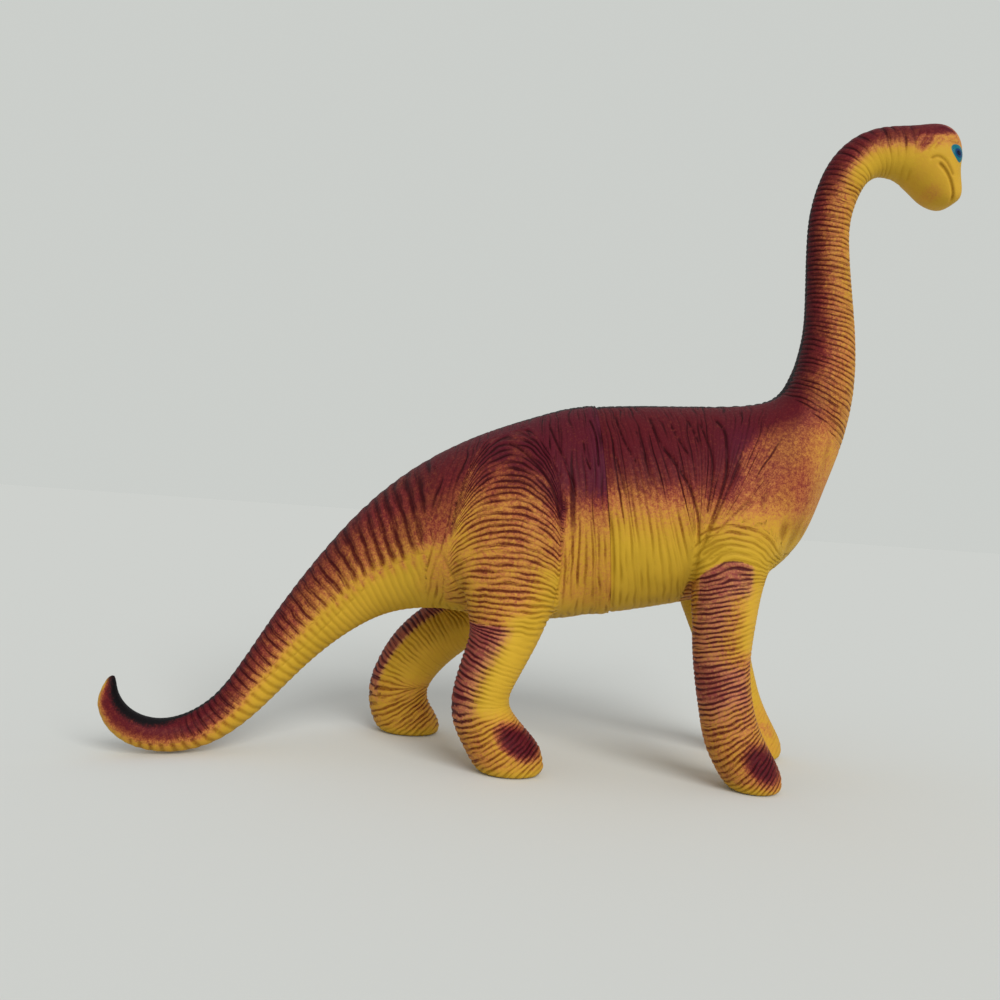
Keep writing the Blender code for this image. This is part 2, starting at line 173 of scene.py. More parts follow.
# Folds carved on both flanks: half their width, their depth, how dark they are painted (painted shade
# in the fold, partly its paint), and their line in side view.
folds = [
    (0.45, 0.45, 0.8, [(-12.5, 92.9), (-8.2, 91.1), (-2.8, 86.3), (1.1, 81.2), (3.1, 76.2), (4.2, 71.1)]),
    (0.4, 0.4, 0.4, [(4.0, 72.0), (5.5, 63.2), (5.6, 55.3), (4.4, 47.0)]),
    (0.36, 0.4, 0.5, [(-2.3, 92.4), (0.2, 88.2), (3.5, 83.6), (4.9, 78.9), (6.0, 74.2), (7.3, 67.9),
                      (7.7, 61.0), (7.5, 53.0)]),
    (0.38, 0.4, 0.8, [(-0.5, 99.2), (1.8, 93.9), (4.0, 89.6), (6.4, 83.8), (8.3, 78.0)]),
    (0.35, 0.3, 0.7, [(-7.9, 98.8), (-6.6, 96.8), (-5.0, 94.6)]),
    (0.3, 0.3, 0.8, [(9.4, 95.0), (10.4, 89.5), (12.0, 86.0)]),
    (0.35, 0.35, 0.8, [(11.0, 101.7), (13.0, 96.1), (14.0, 87.0)]),
    (0.6, 0.4, 0.25, [(-28.6, 60.5), (-24.5, 53.2), (-19.4, 45.2)]),
    (0.3, 0.2, 0.4, [(-30.5, 61.2), (-45.1, 52.7), (-65.4, 30.7), (-77.2, 19.7), (-94.3, 7.1)]),
    (0.48, 0.5, 0.85, [(46.7, 104.4), (49.2, 100.5), (49.5, 96.1), (49.3, 88.3), (47.9, 81.8),
                       (45.6, 73.8), (43.4, 65.7)]),
    (0.45, 0.48, 0.85, [(28.3, 103.6), (30.7, 95.9), (34.6, 90.6), (38.4, 85.0), (40.1, 81.3),
                        (42.1, 75.0), (42.8, 67.0)]),
    (0.35, 0.35, 0.8, [(33.5, 103.0), (36.4, 96.4), (39.3, 92.0)]),
    (0.38, 0.38, 0.8, [(42.5, 102.6), (43.9, 97.6), (45.2, 93.1), (45.5, 88.0), (45.0, 81.6),
                       (44.3, 76.0)]),
    (0.38, 0.35, 0.8, [(39.0, 103.6), (40.4, 99.9), (42.3, 95.0)]),
    (0.35, 0.35, 0.8, [(18.4, 103.6), (20.7, 96.0), (24.8, 88.6)]),
    (0.35, 0.3, 0.7, [(18.6, 91.0), (20.8, 83.3), (22.2, 79.0)]),
    (0.3, 0.3, 0.7, [(23.6, 101.0), (26.2, 93.0), (27.2, 88.0)]),
    (0.42, 0.4, 0.7, [(53.8, 92.5), (51.9, 88.5), (46.8, 75.3), (43.8, 66.9)]),
    (0.4, 0.35, 0.6, [(56.6, 81.3), (50.9, 75.7), (44.4, 67.4)]),
    (0.42, 0.45, 1.0, [(43.4, 64.4), (46.5, 66.9), (50.4, 68.4)]),
    (0.36, 0.35, 0.8, [(45.2, 63.2), (48.5, 65.7), (52.3, 67.2)]),
    (0.6, 0.5, 0.35, [(43.0, 68.0), (42.6, 62.0), (42.4, 53.0)]),
    (0.3, 0.2, 0.5, [(-30.6, 61.8), (-32.0, 69.0), (-31.4, 76.0)]),
    (0.45, 0.4, 0.5, [(3.4, 7.4), (4.6, 5.2), (4.0, 2.4)]),
    (0.45, 0.4, 0.7, [(70.0, 7.6), (71.6, 5.4), (70.8, 2.6)]),
]
# The mouth, the cheek, the eyelid and the creases of the nape, painted dark like the flank folds: partly
# paint, partly painted shade.
headFolds = [
    (0.5, 0.6, 0.8, [(107.9, 184.0), (110.4, 181.9), (112.5, 179.2), (113.8, 176.3), (114.2, 174.2),
                     (113.7, 173.0)]),
    (0.42, 0.35, 0.6, [(105.4, 184.4), (107.8, 185.4), (110.2, 184.3), (112.0, 182.2), (113.6, 179.9)]),
    (0.35, 0.35, 0.4, [(110.6, 190.8), (113.0, 190.3), (115.4, 190.8)]),
    (0.35, 0.3, 0.35, [(101.0, 182.2), (101.3, 179.2)]),
    (0.26, 0.2, 0.35, [(101.6, 187.0), (103.6, 190.0), (105.2, 193.4)]),
    (0.26, 0.2, 0.35, [(102.9, 186.4), (105.0, 189.3), (107.0, 192.8)]),
    (0.24, 0.2, 0.35, [(104.6, 186.8), (106.5, 189.2), (108.6, 191.8)]),
    (0.22, 0.2, 0.4, [(106.4, 187.2), (108.0, 189.2), (109.8, 190.8)]),
    (0.24, 0.2, 0.35, [(100.6, 188.6), (102.2, 191.2), (103.0, 194.2)]),
]
headFrom = 168
eyeBulge = {"reach": 2.2, "height": 0.35, "side": 3}
browRidge = {"rows": [(108.4, 195.4), (111.8, 193.8), (114.4, 191.6)], "width": 0.8, "height": 0.5,
             "side": 1.5}
eye = {"x": 114.3, "z": 187.1, "halfWidth": 2.25, "halfHeight": 2.6, "lean": 0.18, "narrows": 0.14,
       "edge": (1.06, 0.94), "iris": 1.35, "irisBlur": 0.15, "pupil": 0.72, "pupilBlur": 0.12,
       "shine": -0.25, "teal": (0.004, 0.130, 0.170, 1), "blue": (0.003, 0.040, 0.130, 1),
       "black": (0.003, 0.006, 0.025, 1)}


def carve(flat, rows, width):
    along, off, length = onLine(flat, rows)
    taper = smooth(0, 3 * width, along) * smooth(length, length - 3 * width, along)
    return np.exp(-(off / width) ** 2) * taper


# The grooves arch over the thigh: heights where they cross its middle, and how far their ends hang.
thigh = {"middle": -10.6, "leftBack": 1, "halfWidth": 16.4, "hang": [(44, 1.5), (74, 16.5), (90, 38.0)],
         "widest": 0.93, "ahead": 0.68, "pitch": 1.78, "front": 20, "rearFoot": 44}
shin = {"finer": 1.27, "top": 56.4, "slant": 0.02}
shoulder = {"x": 53.0, "z": 54.5, "squash": 0.92, "rear": 30}
foreleg = {"pitch": 1.72, "finer": 1.27, "top": 67.9, "slant": 0.38, "slantBelow": 0.24, "elbow": 60}
ankleHeight = 16
# The trunk's grooves lean forward, and those in front meet in the armpit.
trunk = {"top": 103.0, "armpitX": 43.0, "armpitZ": 64.0, "least": -0.2, "most": 1.5, "shift": 0.4,
         "spread": 0.42, "narrowest": 0.06, "split": 30, "splitLean": 13, "fanFoot": 0.94, "farthest": 78,
         "pitch": 2.6, "uneven": 0.22, "unevenRate": 0.7, "finePitch": 1.35, "longWobble": 0.4,
         "fineWobble": 0.08, "share": 0.45}
neckFan = {"x": -20.0, "z": 155.0, "radius": 102.0, "joinX": 81.0, "joinZ": 148.7, "pitch": 1.42,
           "rootX": 76, "rootZ": 108, "rootLean": 0.9, "rear": 55}
tail = {"behindLegs": -52, "rootX": -30, "rootSide": 14, "rootZ": 46, "lean": 0.05, "scutesFrom": 0.2,
        "scuteWidth": 0.46, "ribWidth": 0.15, "scute": 0.60, "scuteAtRibs": 0.25, "scuteFine": 0.15,
        "endX": -108, "endScutes": 0.5, "endQuiet": 0.85, "seam": 0.05}
tailTip = {"reach": 8.0, "taper": 0.65, "ahead": 1.2, "up": 0.5}
knob = {"height": 0.5, "pitch": 1.9, "width": 0.25, "rear": 48}

# For each region the grooves' depth and width, their strength and how much it varies, the same
# for the fine ones between them, and how they wander.
grooves = {
    "back": {"depth": 0.34, "width": 0.18, "amount": 0.45, "varies": 0.9, "fine": 0.6, "fineVaries": 0.8,
             "wobble": 0.32, "fineWobble": 0.05},
    "tail": {"depth": 0.28, "width": 0.27, "amount": 0.72, "varies": 0.5, "fine": 0.5, "fineVaries": 0.5,
             "wobble": 0.16, "fineWobble": 0.12},
    "neck": {"depth": 0.20, "width": 0.30, "amount": 0.80, "varies": 0.9, "fine": 0.35, "fineVaries": 0.8,
             "wobble": 0.34, "fineWobble": 0.12},
    "hind": {"depth": 0.34, "width": 0.37, "amount": 0.80, "varies": 0.9, "fine": 0.22, "fineVaries": 1.1,
             "wobble": 0.34, "fineWobble": 0.24},
    "fore": {"depth": 0.30, "width": 0.37, "amount": 0.80, "varies": 0.9, "fine": 0.22, "fineVaries": 1.1,
             "wobble": 0.34, "fineWobble": 0.24},
}
# Each noise: the size of its features in mm, then where it is read. The strengths are read
# at places that move with the groove's number and with the region.
grains = {"wobble": (7.5, 1.3), "fineWobble": (2.8, 4.1), "longWobble": (5.0, 2.2), "stretch": 0.3,
          "strength": (6.0, 3.7, 11.3), "fineStrength": (4.5, 2.9, 7.9, 50), "cloud": (16, 6.7)}
# How wide the cut is for its paint, and how fine ones compare.
profile = {"main": 0.62, "fineWidth": 0.25, "fineDepth": 0.6, "mauveWidens": 0.08}

# Where the wrinkles come in: nothing at the first number, all at the second.
zone = {
    "hindTop": (46, 43), "hindSide": (6, 8), "hindReach": (13.5, 12), "hindArches": (38, 52),
    "foreTop": (62, 59), "foreSide": (5, 7), "foreReach": (11.5, 10), "foreArches": (54, 68),
    "thighReach": (1.04, 0.94), "thighSide": (10, 14), "thighFoot": (42, 45), "thighTop": (103, 95),
    "shoulderReach": (22, 16), "shoulderRear": (39, 44), "shoulderSide": (8, 12), "shoulderFoot": (54, 58),
    "foreSlant": (30, 48), "outerHalf": (21.5, 26.5), "border": (0.02, 0.30), "belly": (-0.1, 0.4),
    "tailRoot": (-30, -36), "tailLean": (-50, -66), "ribs": (-66, -46), "tailEnd": (-92, -102),
    "neckRoot": (-6, 2), "neckJoin": (141, 156), "chestRear": (60, 68), "chestFoot": (72, 84),
    "shinFront": (-1, 3.5), "shinTop": (42, 38), "shinFoot": (12, 18), "rearEdge": (0.80, 1.0),
    "rearEdgeTop": (78, 70), "foreFront": (2.5, 6.5), "foreFrontTop": (60, 54), "foreFrontFoot": (34, 40),
    "neckArch": (178, 184), "underArch": (-0.3, 0.6), "head": (99, 103), "nape": (104, 99),
    "knobBack": (-0.80, -0.95), "knobTop": (126, 118), "knobSide": (5, 3), "foldSide": (6, 10),
    "soles": (0.15, 1.6),
}
# How far the skin of each pair of legs reaches along x.
spans = {"hindLeg": (-54, 26), "foreLeg": (34, 92)}
# How much fainter the grooves are on smoother skin.
quieter = {"shinFront": 0.65, "foreFront": 0.6, "underArch": 0.5, "innerFore": 0.65, "tailSeam": 0.6,
           "rearEdge": 0.8, "belly": 0.5, "chest": 0.8, "chestFine": 0.5}
# How strong the fine lines are above the belly, and how much more on it.
bellyFine = {"above": 0.6, "below": 0.4}
# The head is smoother, and its own grooves fade in along a slanting edge.
headSkin = {"from": 178, "left": 0.8, "slope": 0.25, "level": 188, "below": 150}


def within(name, value):
    low, high = spans[name]
    return (value < high) & (value > low)


def thighArch(x, z, middle):
    # height at which the groove through a point crosses the middle of the thigh
    across = np.clip(np.abs(x - middle) / thigh["halfWidth"], 0, thigh["widest"])
    drop = (1 - np.sqrt(1 - across ** 2)) * np.where(x > middle, thigh["ahead"], 1)
    height = np.zeros(len(x))
    for (lowAt, lowHang), (highAt, highHang) in zip(thigh["hang"], thigh["hang"][1:]):
        low, high = lowAt - lowHang * drop, highAt - highHang * drop
        inside = (z > low) | (lowAt == thigh["hang"][0][0])
        height = np.where(inside, lowAt + (z - low) * (highAt - lowAt) / (high - low), height)
    return height


def trunkLine(x, z):
    # where the groove through a point leaves the back
    share = np.clip((trunk["top"] - z) / (trunk["top"] - trunk["armpitZ"]), trunk["least"], trunk["most"])
    parallel = (x - trunk["shift"] * share) / (1 + trunk["spread"] * share)
    fan = (x - trunk["armpitX"] * share) / np.clip(1 - share, trunk["narrowest"], None)
    behind = x < trunk["split"] + trunk["splitLean"] * share
    return np.where(behind | (share > trunk["fanFoot"]), parallel, np.minimum(fan, trunk["farthest"]))


def outward(y):
    # 1 on the right legs and on the outer half of the left ones, whose inner half is plainer
    return np.where(y < 0, 1, smooth(*zone["outerHalf"], y))


def grooveDepth(phase, width):
    return np.exp(-((phase - np.round(phase)) / width) ** 2)


def places(points):
    # where each point lies along the spine, the legs, the thigh and the shoulder
    x, y, z = points[:, 0], points[:, 1] - midline, points[:, 2]
    flat, right = points[:, [0, 2]], y < 0
    s = {"x": x, "y": y, "z": z, "flat": flat, "side": np.abs(y), "right": right}
    s["spinePhase"], s["run"], s["down"], s["half"], s["backPhase"] = onSpine(flat)
    legs = {name: onLine(flat, rows) for name, rows in legLines.items()}
    for leg in ("Hind", "Fore"):
        for row, way in enumerate(("Down", "Front")):
            s[leg.lower() + way] = np.where(right, legs["right" + leg][row], legs["left" + leg][row])
    s["middle"] = np.where(right, thigh["middle"], thigh["middle"] - thigh["leftBack"])
    s["arch"] = thighArch(x, z, s["middle"])
    s["acrossThigh"] = np.abs(x - s["middle"]) / thigh["halfWidth"]
    s["fromFore"] = np.hypot(x - shoulder["x"], (z - shoulder["z"]) * shoulder["squash"])
    s["scutes"] = s["down"] > tail["scutesFrom"]
    s["lines"] = trunkLine(x, z)
    return s


def regionShares(s):
    # how far each point belongs to each region
    x, z, side = s["x"], s["z"], s["side"]
    tailSide = (x < tail["rootX"]) & (side < tail["rootSide"]) & (z > tail["rootZ"])
    tailSide = tailSide | (x < tail["behindLegs"])
    ankle = z < ankleHeight
    s["hindLeg"] = (smooth(*zone["hindTop"], z) * smooth(*zone["hindSide"], side) * within("hindLeg", x)
                    * ~tailSide * np.maximum(smooth(*zone["hindReach"], np.abs(s["hindFront"])), ankle))
    s["foreLeg"] = (smooth(*zone["foreTop"], z) * smooth(*zone["foreSide"], side) * within("foreLeg", x)
                    * np.maximum(smooth(*zone["foreReach"], np.abs(s["foreFront"])), ankle))
    s["onThigh"] = (smooth(*zone["thighReach"], s["acrossThigh"]) * smooth(*zone["thighSide"], side)
                    * smooth(*zone["thighFoot"], z) * smooth(*zone["thighTop"], s["arch"])
                    * (x < thigh["front"]))
    s["onShoulder"] = (smooth(*zone["shoulderReach"], s["fromFore"]) * smooth(*zone["shoulderRear"], x)
                       * smooth(*zone["shoulderSide"], side) * smooth(*zone["shoulderFoot"], z)
                       * (x > shoulder["rear"]))
    neckRoot = z - neckFan["rootZ"] + neckFan["rootLean"] * (x - neckFan["rootX"])
    return {
        "back": np.full(len(x), trunk["share"]),
        "tail": smooth(*zone["tailRoot"], x) * (1 - s["hindLeg"]),
        "neck": smooth(*zone["neckRoot"], neckRoot) * (x > neckFan["rear"]),
        "hind": np.maximum(s["hindLeg"], s["onThigh"]),
        "fore": np.maximum(s["foreLeg"], s["onShoulder"]),
    }


def groovePhases(s):
    # the grooves of each region run where its phase is a whole number: arches over the thigh
    # and the shoulder, rings across the legs, the neck and the tail
    x, z, lines = s["x"], s["z"], s["lines"]
    hindRings = shin["top"] - shin["finer"] * s["hindDown"] + shin["slant"] * s["hindFront"]
    hindLevel = hindRings + smooth(*zone["hindArches"], z) * (s["arch"] - hindRings)
    foreSlant = blend(foreleg["slantBelow"], foreleg["slant"], smooth(*zone["foreSlant"], z))
    foreRings = foreleg["top"] - foreleg["finer"] * s["foreDown"] - foreSlant * s["foreFront"]
    foreLevel = foreRings + smooth(*zone["foreArches"], z) * (shoulder["z"] + s["fromFore"] - foreRings)
    ribs = s["backPhase"] - tail["lean"] * smooth(*zone["tailLean"], x) * s["down"] * s["half"]
    perTurn = neckFan["radius"] / neckFan["pitch"]
    turned = np.arctan2(neckFan["z"] - z, x - neckFan["x"]) * perTurn
    joinTurned = math.atan2(neckFan["z"] - neckFan["joinZ"], neckFan["joinX"] - neckFan["x"]) * perTurn
    joinPhase = onSpine(np.array([[neckFan["joinX"], neckFan["joinZ"]]]))[0][0]
    return {
        "back": lines / trunk["pitch"] + trunk["uneven"] * np.sin(lines * trunk["unevenRate"]),
        "tail": np.where(s["scutes"], s["spinePhase"], ribs),
        "neck": blend(joinPhase + joinTurned - turned, s["spinePhase"], smooth(*zone["neckJoin"], z)),
        "hind": hindLevel / thigh["pitch"],
        "fore": foreLevel / foreleg["pitch"],
    }


def smoothSkin(s, own):
    # how much of the grooves is left at each point: less at the front of the legs, inside the
    # left foreleg, under the neck's arch, at the thigh's rear edge, where the plates of the
    # tail begin and on the head
    x, z, down = s["x"], s["z"], s["down"]
    shinFront = smooth(*zone["shinFront"], s["hindFront"]) * smooth(*zone["shinTop"], z)
    shinFront = shinFront * smooth(*zone["shinFoot"], z) * own["hind"]
    foreFront = smooth(*zone["foreFront"], s["foreFront"]) * smooth(*zone["foreFrontTop"], z)
    foreFront = foreFront * smooth(*zone["foreFrontFoot"], z) * own["fore"]
    underArch = smooth(*zone["neckArch"], z) * smooth(*zone["underArch"], down) * own["neck"]
    left = (1 - quieter["shinFront"] * shinFront) * (1 - quieter["foreFront"] * foreFront)
    left = left * (1 - quieter["underArch"] * underArch)
    inner = np.where(own["fore"] & ~s["right"] & (z < foreleg["elbow"]), 1 - outward(s["y"]), 0)
    left = left * (1 - quieter["innerFore"] * inner)
    seam = np.exp(-((down - tail["scutesFrom"]) / tail["seam"]) ** 2)
    left = left * np.where(own["tail"], 1 - quieter["tailSeam"] * seam, 1)
    left = left * np.where(z > headSkin["from"], headSkin["left"], 1)
    rearEdge = smooth(*zone["rearEdge"], s["acrossThigh"]) * (x < s["middle"])
    rearEdge = rearEdge * smooth(*zone["rearEdgeTop"], z) * own["hind"] * (z > thigh["rearFoot"])
    return left * (1 - quieter["rearEdge"] * rearEdge)


def wrinkles(points, s):
    # phase, strength, width and depth of the grooves at each point
    x, z, down = s["x"], s["z"], s["down"]
    wobble, fineWobble = grain(points, *grains["wobble"]), grain(points, *grains["fineWobble"])
    alongGroove = points * np.array([1, 1, grains["stretch"]])
    longWobble = grain(alongGroove, *grains["longWobble"])
    shares, phases = regionShares(s), groovePhases(s)
    names = list(shares)
    table = np.array([shares[name] for name in names])
    best = table.argmax(0)
    ordered = np.sort(table, axis=0)
    lead = smooth(*zone["border"], ordered[-1] - ordered[-2])
    own = {name: best == row for row, name in enumerate(names)}
    look = {key: np.array([grooves[name][key] for name in names])[best] for key in grooves["back"]}
    phase = np.array([phases[name] for name in names])[best, np.arange(len(x))]
    phase = phase + look["wobble"] * np.where(own["back"], longWobble, wobble)
    phase = phase + look["fineWobble"] * fineWobble
    trunkFine = s["lines"] / trunk["finePitch"] + trunk["longWobble"] * longWobble
    trunkFine = trunkFine + trunk["fineWobble"] * fineWobble
    finePhase = np.where(own["back"], trunkFine, phase * 2 + 0.5)

    # each groove gets its own noise, so that it comes and goes along its run
    streaks = np.where(own["back"][:, None], alongGroove, points)
    size, perGroove, perRegion = grains["strength"]
    strength = grain(streaks, size, np.round(phase) * perGroove + best * perRegion)
    size, perGroove, perRegion, shift = grains["fineStrength"]
    fineStrength = grain(streaks, size, np.round(finePhase) * perGroove + best * perRegion + shift)
    amount = look["amount"] + look["varies"] * strength
    fineAmount = look["fine"] + look["fineVaries"] * fineStrength

    belly = smooth(*zone["belly"], down)
    atChest = smooth(*zone["chestRear"], x) * smooth(*zone["chestFoot"], z)
    trunkAmount = amount * (1 - quieter["belly"] * belly) * (1 - quieter["chest"] * atChest)
    trunkFine = fineAmount * (bellyFine["above"] + bellyFine["below"] * belly)
    trunkFine = trunkFine * (1 - quieter["chestFine"] * atChest)
    ribs, tailEnd = smooth(*zone["ribs"], x), smooth(*zone["tailEnd"], x)
    scuteAmount = tail["scute"] - tail["scuteAtRibs"] * ribs
    scuteAmount = scuteAmount * (1 - tail["endScutes"] * tailEnd * (x < tail["endX"]))
    tailAmount = np.where(s["scutes"], scuteAmount, amount * (1 - tail["endQuiet"] * tailEnd))
    tailFine = np.where(s["scutes"], tail["scuteFine"], fineAmount) * (1 - tailEnd)
    tailWidth = np.where(s["scutes"], tail["scuteWidth"], look["width"] + tail["ribWidth"] * ribs)
    width = np.where(own["tail"], tailWidth, look["width"])
    amount = np.where(own["back"], trunkAmount, np.where(own["tail"], tailAmount, amount))
    fineAmount = np.where(own["back"], trunkFine, np.where(own["tail"], tailFine, fineAmount))

    toHead = smooth(*zone["nape"], x + headSkin["slope"] * (headSkin["level"] - z))
    toHead = np.clip(toHead + (z < headSkin["below"]), 0, 1)
    left = smoothSkin(s, own)
    s.update(own=own, phase=phase, finePhase=finePhase, width=width, depth=look["depth"], wobble=wobble,
             strength=strength, amount=np.clip(amount, 0, 1) * lead * toHead * left,
             fineAmount=np.clip(fineAmount, 0, 1) * lead * toHead * left)


def surface(points):
    # everything the skin needs to know at each point, with its height over the plain shell
    s = places(points)
    wrinkles(points, s)
    x, z, side, flat = s["x"], s["z"], s["side"], s["flat"]
    atHead = z > headFrom
    # each fold's darkness is painted shade in the fold, partly its paint
    carved, deep = np.zeros((2, len(x)))
    for rows, cover in ((folds, smooth(*zone["foldSide"], side)), (headFolds, atHead)):
        for width, depth, shade, line in rows:
            made = carve(flat, line, width) * cover
            carved = carved + made * depth
            deep = np.maximum(deep, made * shade)
    brow = carve(flat, browRidge["rows"], browRidge["width"]) * atHead * (side > browRidge["side"])
    fromEye = ((x - eye["x"]) ** 2 + (z - eye["z"]) ** 2) / eyeBulge["reach"] ** 2
    bulge = np.exp(-fromEye ** 2) * atHead * (side > eyeBulge["side"])
    main = grooveDepth(s["phase"], s["width"] * profile["main"]) * s["amount"]
    fine = profile["fineDepth"] * grooveDepth(s["finePhase"], profile["fineWidth"]) * s["fineAmount"]
    cut = np.maximum(main, fine)
    knobs = s["own"]["neck"] | (s["own"]["back"] & (x > knob["rear"]))
    knobs = knobs * smooth(*zone["knobBack"], s["down"])
    knobs = knobs * smooth(*zone["knobTop"], z) * smooth(*zone["knobSide"], side)
    height = -cut * s["depth"] - carved + brow * browRidge["height"] + bulge * eyeBulge["height"]
    height = height - knobs * knob["height"] * grooveDepth(s["spinePhase"] / knob["pitch"], knob["width"])
    height = height * smooth(*zone["soles"], z) - tailTip["taper"] * smooth(tailTip["reach"], 1, s["run"])
    s.update(deep=deep, brow=brow, height=height, head=smooth(*zone["head"], x) * atHead)
    return s


# The airbrushed tone, 0 for bare yellow to 1 for maroon, against the height or the place on
# the section, and half the width of the black along the back and the neck.
tones = {
    "rearSide": [(58, 0.0), (61.5, 0.1), (65, 0.28), (69, 0.42), (73, 0.53), (77, 0.70), (80, 0.86),
                 (82.5, 0.96), (86, 1.0)],
    "frontSide": [(65, 0.0), (69, 0.10), (73, 0.28), (77, 0.46), (80.5, 0.64), (83.5, 0.82), (87, 0.94),
                  (92, 1.0)],
    "chest": [(64, 0.0), (70, 0.10), (75, 0.30), (80, 0.55), (85, 0.68), (100, 0.74)],
    "hips": [(-0.9, 1.0), (-0.6, 0.90), (-0.4, 0.81), (-0.2, 0.72), (0.0, 0.57), (0.1, 0.33), (0.2, 0.1),
             (0.3, 0.0)],
    "tail": [(-1.0, 1.0), (-0.8, 0.88), (-0.5, 0.75), (-0.2, 0.63), (0.05, 0.45), (0.25, 0.16),
             (0.45, 0.02)],
    "tailEnd": [(-0.9, 1.0), (-0.3, 0.96), (-0.05, 0.82), (0.15, 0.60), (0.35, 0.38), (0.6, 0.18),
                (0.9, 0.10)],
    "neck": [(-0.95, 1.0), (-0.65, 0.84), (-0.4, 0.67), (-0.1, 0.54), (0.3, 0.45), (0.7, 0.36),
             (1.0, 0.24)],
    "neckArch": [(-0.9, 1.0), (-0.5, 0.93), (-0.25, 0.78), (-0.05, 0.50), (0.12, 0.22), (0.3, 0.06),
                 (0.5, 0.0)],
    "thigh": [(44, 0.38), (56, 0.45), (68, 0.50), (75, 0.58), (80, 0.70), (84, 0.84), (88, 0.95),
              (91, 1.0)],
    "shinBack": [(-8, 1.0), (-4.5, 0.9), (-1.5, 0.65), (1, 0.3), (2.6, 0.0)],
    "farHind": [(-9, 1.0), (-6.2, 0.95), (-5.0, 0.3), (-4.0, 0.0)],
    "foreHeight": [(10, 0.0), (16, 0.25), (22, 0.45), (27, 0.85), (34, 0.8), (38, 0.5), (44, 0.55),
                   (50, 0.65), (56, 0.75)],
    "foreFade": [(22, 0.3), (34, 0.25), (39, 0.9), (53, 0.85), (57, 0.1), (60, 0.0)],
    "neckBlack": [(100, 4.6), (112, 3.2), (122, 1.8), (135, 0.8), (170, 0.7)],
    "backBlack": [(-46, 0.0), (-38, 1.2), (-26, 3.2), (-8, 5.0), (10, 6.0), (60, 6.0)],
}
# The purple patches over the toes.
footPatches = [
    {"x": -3.0, "z": 9.9, "turn": -30, "long": 8.6, "wide": 4.6, "right": True, "much": 1.0},
    {"x": 64.5, "z": 8.5, "turn": -38, "long": 9.4, "wide": 6.0, "right": True, "much": 1.0},
    {"x": -33.5, "z": 9.2, "turn": -20, "long": 5.0, "wide": 2.4, "right": False, "much": 0.35},
    {"x": 76.0, "z": 9.8, "turn": -34, "long": 5.0, "wide": 2.4, "right": False, "much": 0.35},
]
# Where the colours come in: nothing at the first number, all at the second.
sprayed = {
    "hips": (-18, -27), "shoulder": (50, 72), "neckArch": (172, 182), "neckFoot": (122, 106),
    "neckUnder": (0.9, 0.3), "neck": (60, 76), "tail": (-34, -46), "tailEnd": (-70, -94),
    "brushEdge": (-1.0, 2.5), "brushRear": (51.5, 54.5), "brushTop": (107, 96), "chestFront": (69, 87),
    "dimpleRear": (-64, -56), "dimpleFront": (-28, -33), "besideThigh": (-38, -28), "besideFoot": (44, 52),
    "thighRear": (-15, -26), "thighRearTop": (94, 82), "thighFront": (-4, 6), "thighFrontTop": (64, 54),
    "shinTop": (42.0, 41.4), "shinFoot": (6, 20), "shinRear": (3, -4), "ankles": (20, 14),
    "foreTop": (64.2, 63.6), "foreFade": (-4, 3), "foreSide": (8, 12), "foreFront": (7.6, 4.6),
    "foreRear": (-9.0, -8.0), "foreYellow": (0.5, 5.5), "foreYellowFoot": (36, 41), "soles": (0.3, 4.0),
    "patch": (1.3, 0.35), "head": (101, 104), "crown": (190.4, 193.8), "crownFront": (108, 114),
    "nape": (1.25, 0.3), "chin": (1.2, 0.3), "face": (186.5, 190.5), "faceRear": (104, 108),
    "neckBlack": (50, 72), "blackNoise": (78, 66), "blackDown": (-0.70, -0.9), "blackRear": (-46, -34),
    "tailBlack": (0.35, 0.05), "tailBlackFrom": (-50, -66), "rootBlack": (1.2, 0.4),
    "rootBlackFront": (-34, -46), "rootBlackRear": (-76, -58), "endBlack": (3.0, -0.6),
    "endBlackFrom": (-88, -104), "tipBlack": (14, 25), "violetFront": (9, 16), "violetRear": (-30, -10),
    "violetFoot": (66, 76),
}
# How far the noise moves the borders, and how strong the smaller sprays are.
uneven = {"cloud": 0.10, "wobble": 0.06, "level": 14, "place": 0.9, "brush": 8, "thigh": 6, "shin": 8,
          "patch": 1.5, "crown": 10, "black": 7}
chest = {"x": 53.5, "z": 95.4, "slope": 0.7, "drop": 8, "shoulderDrop": 1.0, "frontLean": 0.3,
         "frontZ": 90, "paler": 0.55}
neckPaint = {"lean": 0.9, "z": 92, "rear": 50, "footTone": 0.14}
dimple = {"down": 0.23, "reach": 0.11, "pitch": 3.4, "tone": 0.48, "besideThigh": 0.30}
thighPaint = {"varies": 0.16, "rear": 0.34, "least": 0.30, "front": 0.85, "frontLean": 0.35, "frontZ": 58}
shinPaint = {"narrows": 0.08, "z": 42, "rear": 0.44, "ankle": 0.30, "inner": 0.08, "innerAnkle": 0.2}
forePaint = {"x": 52.6, "ahead": 0.037, "behind": 0.065, "tone": 0.42, "yellow": 0.85, "inner": 0.06,
             "innerAnkle": 0.15, "top": 66}
headPaint = {"rear": 150, "x": 108, "slope": 0.10, "frontPaler": 0.3, "crown": 0.96, "nape": 0.74,
             "brow": 0.35, "face": 0.42, "chin": 0.20, "base": 0.08}
napeSpot = {"x": 104.4, "z": 190.2, "lean": 0.55, "leanZ": 190, "long": 3.0, "high": 4.4}
chinSpot = {"x": 108.5, "z": 175.8, "long": 3.0, "high": 2.6}
blackPaint = {"outer": 1.5, "inner": 0.5, "front": 108, "root": 0.9, "tip": 0.9, "tipLean": 1.2,
              "tipX": 114, "tipRear": -106}
violetPaint = {"least": 0.2, "more": 0.45, "spot": 0.4, "x": 54, "z": 97, "reach": 6}


def tone(name, value):
    at, amounts = zip(*tones[name])
    return np.interp(value, at, amounts)


